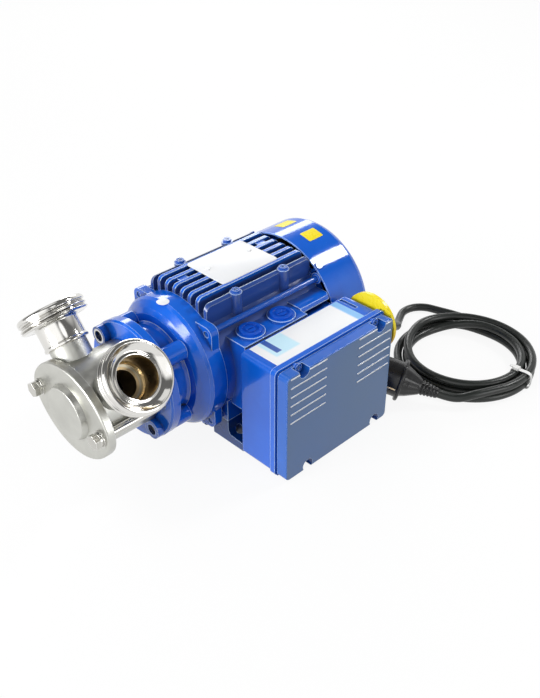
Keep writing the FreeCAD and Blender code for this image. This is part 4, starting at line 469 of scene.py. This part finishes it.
def make_materials():
    """A finish for each material slot of the record."""
    return {
        "blue_paint": enamel("blue_enamel", BLUE),
        "blue_screws": enamel("blue_enamel_screws", (0.004, 0.085, 0.46), (0.002, 0.05, 0.3),
                              roughness=0.16, edge=0.3, shade_share=0.5),
        "lid_paint": lid_enamel(),
        "blasted_steel": blasted_steel("blasted_stainless"),
        "polished_steel": metal("polished_stainless", (0.74, 0.73, 0.7), 0.16, spread=0.04,
                                grain=900, depth=0.008),
        "bright_screws": metal("bright_steel_screws", (0.6, 0.59, 0.55), 0.22, grain=1800,
                               depth=0.01, edge=0.3),
        "shaft_steel": metal("ground_steel", (0.55, 0.55, 0.55), 0.22),
        "core_steel": metal("laminated_steel", (0.3, 0.3, 0.32), 0.4),
        "copper": metal("varnished_copper", (0.6, 0.25, 0.1), 0.3),
        "brass": metal("turned_brass", (0.72, 0.5, 0.22), 0.28),
        "can_aluminium": metal("drawn_aluminium", (0.66, 0.66, 0.68), 0.3),
        "black_rubber": plastic("black_rubber", (0.014, 0.014, 0.014), 0.55),
        "cord_rubber": plastic("cord_rubber", (0.014, 0.017, 0.015), 0.33, spread=0.04,
                               grain=900, depth=0.015),
        "black_plastic": plastic("black_plastic", (0.012, 0.012, 0.013), 0.3),
        "yellow_plastic": yellow_plastic(),
        "white_plastic": plastic("white_nylon", (0.85, 0.85, 0.84), 0.4, other=(0.78, 0.78, 0.76)),
        "blue_plastic": plastic("blue_plastic", (0.004, 0.09, 0.6), 0.2, other=(0.002, 0.06, 0.42)),
        "silver_plate": plastic("plate_foil", (0.82, 0.83, 0.84), 0.36, other=(0.77, 0.79, 0.83)),
        "seal_carbon": plastic("lapped_carbon", (0.05, 0.05, 0.05), 0.3),
    }


def dress_nodes(kit):
    """Every CAD node gets its own finish, or else that of its slot in the record."""
    # Darker copy of the blue enamel for the feet: painted shade.
    foot = enamel("shaded_foot_enamel", (0.002, 0.04, 0.2), (0.001, 0.025, 0.13), DARK_BLUE, roughness=0.3)
    own = {
        "box_label": label_film(),
        "adapter": adapter_enamel(),
        "pump_body": cast_steel(),
        "motor_frame": frame_enamel(),
        "lid_gasket": plastic("painted_rubber", (0.008, 0.07, 0.36), 0.35),
        "foot_left": foot,
        "foot_right": foot,
    }
    for name, item in nodes.items():
        for index, old in enumerate(item.data.materials):
            finish = own.get(name) or kit[old.name.split(".")[0]]
            item.data.materials[index] = finish.material


# Mesh forms

def piece(name, mesh, finish, slot, *replaced):
    """Object of the scene's own that stands still with the unit."""
    item = bpy.data.objects.new(name, mesh)
    scene.collection.objects.link(item)
    item.data.materials.append(finish.material)
    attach(item, "unit")
    if replaced:
        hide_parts(*replaced)
    return item


def shaded(name, form, crease=32):
    """Finish a bmesh as a smooth mesh with sharp creases."""
    bmesh.ops.remove_doubles(form, verts=form.verts, dist=0.001 * MM)
    bmesh.ops.recalc_face_normals(form, faces=form.faces)
    mesh = bpy.data.meshes.new(name)
    form.to_mesh(mesh)
    form.free()
    mesh.shade_smooth()
    mesh.set_sharp_from_angle(angle=math.radians(crease))
    return mesh


def wave(angle):
    """0 to 1 and back once a turn."""
    return 0.5 - 0.5 * math.cos(angle)


def softened(outline, size):
    """Outline with each corner cut to a short curve."""
    points = [outline[0]]
    for before, corner, after in zip(outline, outline[1:], outline[2:]):
        corner = Vector(corner)
        ends = []
        for other in (before, after):
            away = Vector(other) - corner
            ends.append(corner + away * min(0.4, size / max(away.length, 1e-6)))
        points += [tuple(ends[0]), tuple((ends[0] + ends[1] + 2 * corner) / 4), tuple(ends[1])]
    return points + [outline[-1]]


def joined(form, lower, upper):
    """Faces between two closed rings of as many vertices."""
    for step in range(len(lower)):
        after = (step + 1) % len(lower)
        form.faces.new((lower[step], lower[after], upper[after], upper[step]))


def turned(name, origin, axis, outline, segments=120, shape=None):
    """Mesh turned about an axis from (distance, radius) points; shape may vary the radius."""
    axis = Vector(axis).normalized()
    side = axis.cross(Vector((1, 0, 0) if abs(axis.x) < 0.9 else (0, 0, 1))).normalized()
    other = axis.cross(side)
    form = bmesh.new()
    rings = []
    for distance, radius in outline:
        ring = []
        for step in range(segments):
            turn = math.tau * step / segments
            out = shape(distance, radius, turn) if shape else radius
            around = side * math.cos(turn) + other * math.sin(turn)
            ring.append(form.verts.new((Vector(origin) + axis * distance + around * max(out, 0)) * MM))
        rings.append(ring)
    for lower, upper in zip(rings, rings[1:]):
        joined(form, lower, upper)
    return shaded(name, form)


def rounded_slab(name, low, high, corner, edge):
    """Slab with round upright corners and a small chamfer on its top."""
    form = bmesh.new()
    rings = []
    bottom, top = low[2], high[2]
    levels = ((bottom, 0), (top - edge, 0), (top - edge * 0.3, edge * 0.3), (top, edge))
    centres = ((high[0] - corner, high[1] - corner), (low[0] + corner, high[1] - corner),
               (low[0] + corner, low[1] + corner), (high[0] - corner, low[1] + corner))
    for height, inset in levels:
        ring = []
        for quarter, (x, y) in enumerate(centres):
            for step in range(9):
                turn = math.pi / 2 * (quarter + step / 8)
                out = corner - inset
                place = Vector((x + out * math.cos(turn), y + out * math.sin(turn), height))
                ring.append(form.verts.new(place * MM))
        rings.append(ring)
    for lower, upper in zip(rings, rings[1:]):
        joined(form, lower, upper)
    form.faces.new(rings[-1])
    form.faces.new(list(reversed(rings[0])))
    return shaded(name, form)


STICKER_THICKNESS = 0.15
STICKER_CELLS = 24
SAME_PLACE = 1e-7


def wrapped(name, radius, span, turn, width, corner):
    """Sticker with round corners on a cylinder about the shaft; turn and width are in degrees."""
    wide = span[1] - span[0]
    tall = radius * math.radians(width)
    first = math.radians(turn - width / 2)
    corner = min(corner, wide / 2, tall / 2)
    out = radius + STICKER_THICKNESS
    form = bmesh.new()
    grid = []
    for row in range(STICKER_CELLS + 1):
        up = tall * row / STICKER_CELLS
        edge = max(corner - up, corner - (tall - up), 0)
        inset = corner - math.sqrt(max(corner * corner - edge * edge, 0))
        line = []
        for column in range(STICKER_CELLS + 1):
            x = span[0] + inset + (wide - 2 * inset) * column / STICKER_CELLS
            lean = first + up / radius
            place = Vector((x, -out * math.sin(lean), SHAFT_HEIGHT + out * math.cos(lean)))
            line.append(form.verts.new(place * MM))
        grid.append(line)
    for lower, upper in zip(grid, grid[1:]):
        for a, b, c, d in zip(lower, lower[1:], upper[1:], upper):
            if (a.co - b.co).length + (d.co - c.co).length > SAME_PLACE:
                form.faces.new((a, b, c, d))
    return shaded(name, form)


def bevelled_block(form, low, high, place, size, segments):
    """Add a block with round edges to a form; place turns its own mm into metres of the frame."""
    corners = [form.verts.new(place(*corner)) for corner in itertools.product(*zip(low, high))]
    block = bmesh.ops.convex_hull(form, input=corners)
    edges = [item for item in block["geom"] if isinstance(item, bmesh.types.BMEdge)]
    bmesh.ops.bevel(form, geom=edges, offset=size * MM, segments=segments, affect="EDGES")


# Couplings

COUPLING_LENGTH = 36.5
RIM_LENGTH = 14
TUBE_RADIUS = 20.5
THREAD_RADIUS = 32.5
THREAD_PITCH = 25.4 / 6
THREAD_DEPTH = 2.0
THREAD_STEPS = 56
THREAD_RUN_IN = 1.2
THREAD_RUN_OUT = 1.0
LIP_DEPTH = 4.8


def clamped(value):
    return min(1, max(0, value))


def coupling(name, axis, reach):
    """Welded coupling end with its round thread cut as one helix."""
    weld = reach - COUPLING_LENGTH
    back = reach - RIM_LENGTH
    start, end = back + 1.5, reach - 4.2
    seat, lip = reach - SEAT_DEPTH, reach - LIP_DEPTH
    tube = [(weld, STUB_BORE + 2), (weld, TUBE_RADIUS + 1), (weld + 2.5, TUBE_RADIUS + 1),
            (weld + 3.5, TUBE_RADIUS), (back - 1.5, TUBE_RADIUS), (back, TUBE_RADIUS + 2), (back, 31),
            (start, THREAD_RADIUS)]
    crest = [(start + (end - start) * step / THREAD_STEPS, THREAD_RADIUS)
             for step in range(1, THREAD_STEPS)]
    mouth = [(end, THREAD_RADIUS), (reach - 2.4, THREAD_RADIUS - 0.1), (reach - 0.5, 31), (reach, 29),
             (reach - 1.6, 27.8), (reach - 4.4, 25.2), (seat, 22.6), (seat, 21), (lip, 20.6),
             (lip, PORT_BORE), (weld + 6, PORT_BORE), (weld + 4, STUB_BORE + 2)]
    outline = softened(tube, 0.5) + crest + softened(mouth, 0.7) + [(weld, STUB_BORE + 2)]

    def thread(distance, radius, turn):
        if radius < THREAD_RADIUS - 0.1:
            return radius
        fade = clamped((distance - start) / THREAD_RUN_IN) * clamped((end - distance) / THREAD_RUN_OUT)
        return radius - THREAD_DEPTH * fade * wave(math.tau * distance / THREAD_PITCH - turn)
    return turned(name, (PORT_X, 0, SHAFT_HEIGHT), axis, outline, segments=144, shape=thread)


def add_couplings():
    for node, name, axis, reach in (("inlet_coupling", "threaded_inlet", INLET, INLET_REACH),
                                    ("outlet_coupling", "threaded_outlet", OUTLET, OUTLET_REACH)):
        finish = turned_steel(name + "_steel", axis, reach)
        piece(name, coupling(name, axis, reach), finish, "polished_steel", node)


# Plug and boot

PLUG_CENTRE = Vector((114, -131, 22.5))
PLUG_ANGLE = math.radians(-61)
PLUG_DIP = math.radians(13)
PLUG_AXIS = Vector((math.cos(PLUG_ANGLE) * math.cos(PLUG_DIP), math.sin(PLUG_ANGLE) * math.cos(PLUG_DIP),
                    -math.sin(PLUG_DIP)))
PLUG_BODY = 30
PLUG_RADIUS = 19
PLUG_COLLAR = 22.5
PLUG_NECK = 40
PLUG_RINGS = 5
PLUG_RING_START = 21
PLUG_RING_PITCH = 3.6
# Grips on the plug: where they start and end along it, the least radius, their depth and number.
PLUG_GRIPS = ((-28, -3, 18, 0.55, 24), (2, 19, 8, 0.5, 10))
STRIP_SIDE = Vector((-0.877, -0.478, -0.03))
# Lowest and highest corners of the strip: along the plug, across and outward.
EARTH_STRIP = ((-14, -1.1, 17.6), (-2.6, 1.1, 19.3))


def add_plug(kit):
    """Moulded plug: gripped body, finger collar and a neck with rings."""
    outline = [(-PLUG_BODY, 0), (-PLUG_BODY, PLUG_RADIUS - 1), (1 - PLUG_BODY, PLUG_RADIUS),
               (-2, PLUG_RADIUS), (-2, PLUG_COLLAR - 1), (-1, PLUG_COLLAR), (1, PLUG_COLLAR),
               (2, PLUG_COLLAR - 1), (2.5, 17), (8, 15), (18, 10), (20, 8.8)]
    for ring in range(PLUG_RINGS):
        start = PLUG_RING_START + ring * PLUG_RING_PITCH
        groove = 7.4 - ring * 0.5
        outline += [(start, 8.4 - ring * 0.55), (start + 0.5, groove), (start + 1.4, groove),
                    (start + 1.9, 8.3 - ring * 0.55)]
    outline += [(PLUG_NECK, CORD_RADIUS + 0.6), (PLUG_NECK, 0)]

    def grip(distance, radius, turn):
        for start, end, least, depth, count in PLUG_GRIPS:
            if start < distance < end and radius > least:
                return radius - depth * wave(count * turn)
        return radius
    points = softened(outline, 0.5)
    mesh = turned("moulded_plug", PLUG_CENTRE, PLUG_AXIS, points, segments=144, shape=grip)
    return piece("moulded_plug", mesh, kit["black_plastic"], "black_plastic", "plug")


def add_earth_strip(kit):
    """Earth contact let into the plug's side."""
    across = PLUG_AXIS.cross(STRIP_SIDE)

    def place(along, sideways, outward):
        return (PLUG_CENTRE + PLUG_AXIS * along + across * sideways + STRIP_SIDE * outward) * MM
    form = bmesh.new()
    bevelled_block(form, *EARTH_STRIP, place, size=0.35, segments=3)
    return piece("earth_strip", shaded("earth_strip", form), kit["brass"], "brass")


GLAND_END = (95, -92, 58)
BOOT_LENGTH = 26
BOOT_RADIUS = 8.5
BOOT_RINGS = 5
BOOT_RING_START = 5
BOOT_RING_PITCH = 3.8


def add_boot(kit):
    """Tapered strain relief with rings."""
    sleeve = CORD_RADIUS + 0.2
    outline = [(-12, sleeve), (0, sleeve), (0, BOOT_RADIUS), (4, BOOT_RADIUS)]
    for ring in range(BOOT_RINGS):
        start = BOOT_RING_START + ring * BOOT_RING_PITCH
        outer = BOOT_RADIUS - 0.5 - ring * 0.5
        outline += [(start, outer), (start + 1.6, outer), (start + 1.9, outer - 1.1),
                    (start + 3.4, outer - 1.2)]
    outline += [(BOOT_LENGTH - 0.2, CORD_RADIUS + 0.8), (BOOT_LENGTH, CORD_RADIUS + 0.05)]
    mesh = turned("ribbed_boot", GLAND_END, (1, 0, 0), softened(outline, 0.3), segments=72)
    return piece("ribbed_boot", mesh, kit["black_rubber"], "black_rubber", "cable_boot")


# Tie on the coil

TIE_TURN = math.radians(-84)
TIE_REACH = 68
TIE_HEIGHT = 10
TIE_HALF_WIDTH = 11.3
TIE_HALF_HEIGHT = 9.3
TIE_POWER = 0.4
TIE_STEPS = 72
# Section of the strap: out from the loop and along the cord.
STRAP = ((0, -2.1), (0, 2.1), (0.5, 2.4), (0.6, 1.6), (0.6, -1.6), (0.5, -2.4))
# Lowest and highest corners of the lock and of the cut tail: outward, along the cord and up.
TIE_BLOCKS = (((-9.5, -3.4, 8.6), (-2.5, 3.4, 11.6)), ((-13.5, -2.1, 10.1), (-9.0, 2.1, 11.1)))


def squared(value):
    """Cosine or sine pushed outward, which makes a circle a rounded rectangle."""
    return math.copysign(abs(value) ** TIE_POWER, value)


def add_tie(kit):
    """White strap round the coil's bundle, with its lock and cut tail."""
    outward = Vector((math.cos(TIE_TURN), math.sin(TIE_TURN), 0))
    sideways = Vector((-outward.y, outward.x, 0))
    middle = Vector((*COIL_CENTRE, TIE_HEIGHT)) + outward * TIE_REACH

    def place(out, side, up):
        return (middle + outward * out + sideways * side + Vector((0, 0, up))) * MM
    form = bmesh.new()
    rings = []
    for step in range(TIE_STEPS):
        angle = math.tau * step / TIE_STEPS
        out, up = squared(math.cos(angle)), squared(math.sin(angle))
        rings.append([form.verts.new(place(out * (TIE_HALF_WIDTH + swell), side,
                                           up * (TIE_HALF_HEIGHT + swell))) for swell, side in STRAP])
    for ring, after in zip(rings, rings[1:] + rings[:1]):
        joined(form, ring, after)
    for low, high in TIE_BLOCKS:
        bevelled_block(form, low, high, place, size=0.4, segments=2)
    mesh = shaded("strap_tie", form, crease=40)
    return piece("strap_tie", mesh, kit["white_plastic"], "white_plastic", "cable_tie")


# Plate and stickers

# Degrees from +Z towards -Y of the cowl's stickers, and where stickers start and end along the shaft.
COWL_STICKERS = {"cowl_sticker_side": 12, "cowl_sticker_top": -16}
COWL_STICKER_SPAN = (85, 105)
DRUM_STICKER_SPAN = (-92.5, -80.5)


def add_plates(kit):
    low, high = ([value / MM for value in corner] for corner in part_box("name_plate"))
    piece("rating_plate", rounded_slab("rating_plate", low, high, corner=3.5, edge=0.3),
          kit["silver_plate"], "silver_plate", "name_plate")
    for name, turn in COWL_STICKERS.items():
        mesh = wrapped(name, COWL_RADIUS, COWL_STICKER_SPAN, turn, width=11, corner=0.8)
        piece(name, mesh, kit["yellow_plastic"], "yellow_plastic")
    film = plastic("sticker_white", (0.8, 0.81, 0.82), 0.4, other=(0.76, 0.78, 0.8))
    mesh = wrapped("drum_sticker", DRUM_RADIUS, DRUM_STICKER_SPAN, 0, width=10.4, corner=6)
    piece("drum_sticker", mesh, film, "silver_plate")


# Cord

LEAD = ((0.121, -0.092, 0.058), (0.137, -0.092, 0.058), (0.154, -0.0885, 0.053),
        (0.1705, -0.079, 0.0415), (0.185, -0.067, 0.0275), (0.2, -0.0565, 0.0155),
        (0.215, -0.0465, 0.0075), (0.23, -0.0378, 0.005), (0.245, -0.0305, 0.0046),
        (0.2608, -0.0327, 0.0046), (0.2729, -0.0432, 0.0046), (0.2774, -0.0587, 0.0046),
        (0.2827, -0.0749, 0.0046), (0.2862, -0.0915, 0.0046), (0.2868, -0.1085, 0.0048))
TAIL = ((0.157, -0.1925, 0.0135), (0.146, -0.1845, 0.0105), (0.1381, -0.1745, 0.011),
        (0.1329, -0.1651, 0.0135))
# Degrees from +X of the lead's last point, seen from the coil's centre.
COIL_START = 23.7
COIL_STEPS = 48
# Degrees wound from the lead's last point, distance from the coil's centre and height.
COIL_WINDING = ((16, 75.4, 4.8), (40, 74.4, 4.8), (328, 74.2, 4.8), (376, 64.2, 4.8), (670, 64.2, 4.8),
                (725, 63.2, 14.3), (985, 63.2, 14.3), (1035, 74.2, 14.3), (1231, 74.8, 14.2))


def coil_place(wound):
    """Distance and height at so many degrees, eased from one given row to the next."""
    for (a, r0, z0), (b, r1, z1) in zip(COIL_WINDING, COIL_WINDING[1:]):
        if wound <= b:
            break
    part = (wound - a) / (b - a)
    part = part * part * (3 - 2 * part)
    return r0 + (r1 - r0) * part, z0 + (z1 - z0) * part


def coil_points():
    """The coil's turns in metres, 14 points to each."""
    first, last = COIL_WINDING[0][0], COIL_WINDING[-1][0]
    points = []
    for step in range(COIL_STEPS + 1):
        wound = first + (last - first) * step / COIL_STEPS
        radius, height = coil_place(wound)
        turn = math.radians(COIL_START - wound)
        x, y = COIL_CENTRE[0] + radius * math.cos(turn), COIL_CENTRE[1] + radius * math.sin(turn)
        points.append((x * MM, y * MM, height * MM))
    return points


def add_cord(kit):
    points = [*LEAD, *coil_points(), *TAIL]
    curve = bpy.data.curves.new("mains_cord", "CURVE")
    curve.dimensions = "3D"
    curve.bevel_depth = CORD_RADIUS * MM
    curve.bevel_resolution = 6
    curve.resolution_u = 8
    curve.use_fill_caps = True
    spline = curve.splines.new("NURBS")
    spline.points.add(len(points) - 1)
    for point, where in zip(spline.points, points):
        point.co = (*where, 1)
    spline.order_u = 3
    spline.use_endpoint_u = True
    return piece("mains_cord", curve, kit["cord_rubber"], "cord_rubber", "cable", "cable_coil")


# Studio, in metres and watts

# Walls in reflections: direction, where they start and are full, top and level.
WALLS = (((1, 1, 0), 0.3, 0.8, 0.62, 0.85),
         ((-1, 0.2, 0), 0.7, 0.95, 0.5, 0.8),
         ((0.65, -0.75, 0), 0.8, 0.95, 0.75, 0.75),
         ((-0.2, -0.7, 0.7), 0.975, 0.99, 1.3, 1.3),
         ((-0.88, -0.32, 0.3), 0.74, 0.88, 1.3, 1.15))
WALL_FADE = 0.2
CEILING_LEVEL = 0.16
SOFT_LIGHT = ((-0.65, 0.45, 0.5), -0.35, 1, 0, 0.9)
# Area lamps: place, target, size and power.
LAMPS = {
    "back_softbox": ((1.15, -0.45, 1.25), (0, 0, 0.1), (0.36, 0.28), 9),
    "back_strip": ((1.3, 1.5, 0.95), (0.1, 0, 0.1), (1.3, 0.4), 10),
    "overhead_softbox": ((-0.3, 0.8, 1.6), (0, 0, 0.1), (1.0, 0.8), 2),
    "left_fill": ((-1.8, 0.3, 0.6), (0, 0, 0.1), (1.0, 0.9), 30),
    "front_fill": ((0.3, -1.9, 0.55), (0, 0, 0.1), (1.0, 0.8), 11),
}
FLOOR_SIZE = 8
FLOOR_DROP = 0.3 * MM
FLOOR_SHADE = (0.16, 0.16, 0.16, 1)
FLOOR_SEEN = (0.9, 0.9, 0.9, 1)
FLOOR_GLOW = 0.9
FLOOR_MIRRORED = 0.88
WHITE = (1, 1, 1, 1)


def add_lamp(name, where, target, size, power):
    data = bpy.data.lights.new(name, "AREA")
    data.shape = "RECTANGLE"
    data.size, data.size_y = size
    data.energy = power
    lamp = bpy.data.objects.new(name, data)
    aim = (Vector(target) - Vector(where)).to_track_quat("-Z", "Y")
    lamp.matrix_world = Matrix.Translation(where) @ aim.to_matrix().to_4x4()
    scene.collection.objects.link(lamp)


def add_world():
    """Pale walls low down and a dim ceiling in reflections, soft side light elsewhere, white behind."""
    world = bpy.data.worlds.new("studio")
    scene.world = world
    world.use_nodes = True
    graph = Graph(world.node_tree)
    back = graph.tree.nodes["Background"].inputs
    back["Color"].default_value = WHITE
    where = graph.add("ShaderNodeTexCoord").outputs["Generated"]

    def facing(direction, start, end, low=0, high=1):
        """Level that rises as a ray turns towards a direction."""
        near = graph.vector("DOT_PRODUCT", where, Vector(direction).normalized())
        return graph.ranged(near, low, high, start, end)

    shiny = 0
    for direction, start, end, top, level in WALLS:
        wall = graph.product(facing(direction, start, end),
                             facing((0, 0, 1), top - WALL_FADE, top, level, 0))
        shiny = graph.maths("MAXIMUM", shiny, wall)
    shiny = graph.maths("ADD", shiny, CEILING_LEVEL)
    path = graph.add("ShaderNodeLightPath").outputs
    glossy = path["Is Glossy Ray"]
    level = graph.maths("ADD", graph.product(shiny, glossy),
                        graph.product(facing(*SOFT_LIGHT), graph.maths("SUBTRACT", 1, glossy)))
    seen = graph.maths("MAXIMUM", path["Is Camera Ray"], path["Is Transmission Ray"])
    graph.link(graph.maths("MAXIMUM", level, seen), back["Strength"])


def floor_white():
    """White floor where it is seen or mirrored, and a grey one for the light that it sends back."""
    made = bpy.data.materials.new("floor_white")
    made.use_nodes = True
    graph = Graph(made.node_tree)
    path = graph.add("ShaderNodeLightPath").outputs
    seen = graph.maths("MAXIMUM", path["Is Camera Ray"],
                       graph.product(path["Is Glossy Ray"], FLOOR_MIRRORED))
    bsdf = graph.tree.nodes["Principled BSDF"]
    bsdf.inputs["Roughness"].default_value = 0.7
    graph.link(graph.blended(seen, FLOOR_SHADE, FLOOR_SEEN), bsdf.inputs["Base Color"])
    glow = graph.add("ShaderNodeEmission")
    glow.inputs["Color"].default_value = WHITE
    mix = graph.add("ShaderNodeMixShader")
    graph.feed(mix.inputs, graph.product(seen, FLOOR_GLOW), bsdf.outputs["BSDF"],
               glow.outputs["Emission"])
    graph.link(mix.outputs["Shader"], graph.tree.nodes["Material Output"].inputs["Surface"])
    return made


def add_floor():
    mesh = bpy.data.meshes.new("floor")
    form = bmesh.new()
    bmesh.ops.create_grid(form, x_segments=1, y_segments=1, size=FLOOR_SIZE)
    bmesh.ops.translate(form, verts=form.verts, vec=(0, 0, -FLOOR_DROP))
    form.to_mesh(mesh)
    form.free()
    floor = bpy.data.objects.new("floor", mesh)
    scene.collection.objects.link(floor)
    floor.data.materials.append(floor_white())


def add_studio():
    add_world()
    for name, values in LAMPS.items():
        add_lamp(name, *values)
    add_floor()
    scene.view_settings.view_transform = "Standard"


add_camera()
kit = make_materials()
cord = add_cord(kit)
dress_nodes(kit)
add_couplings()
plug = add_plug(kit)
strip = add_earth_strip(kit)
boot = add_boot(kit)
tie = add_tie(kit)
add_plates(kit)
add_studio()
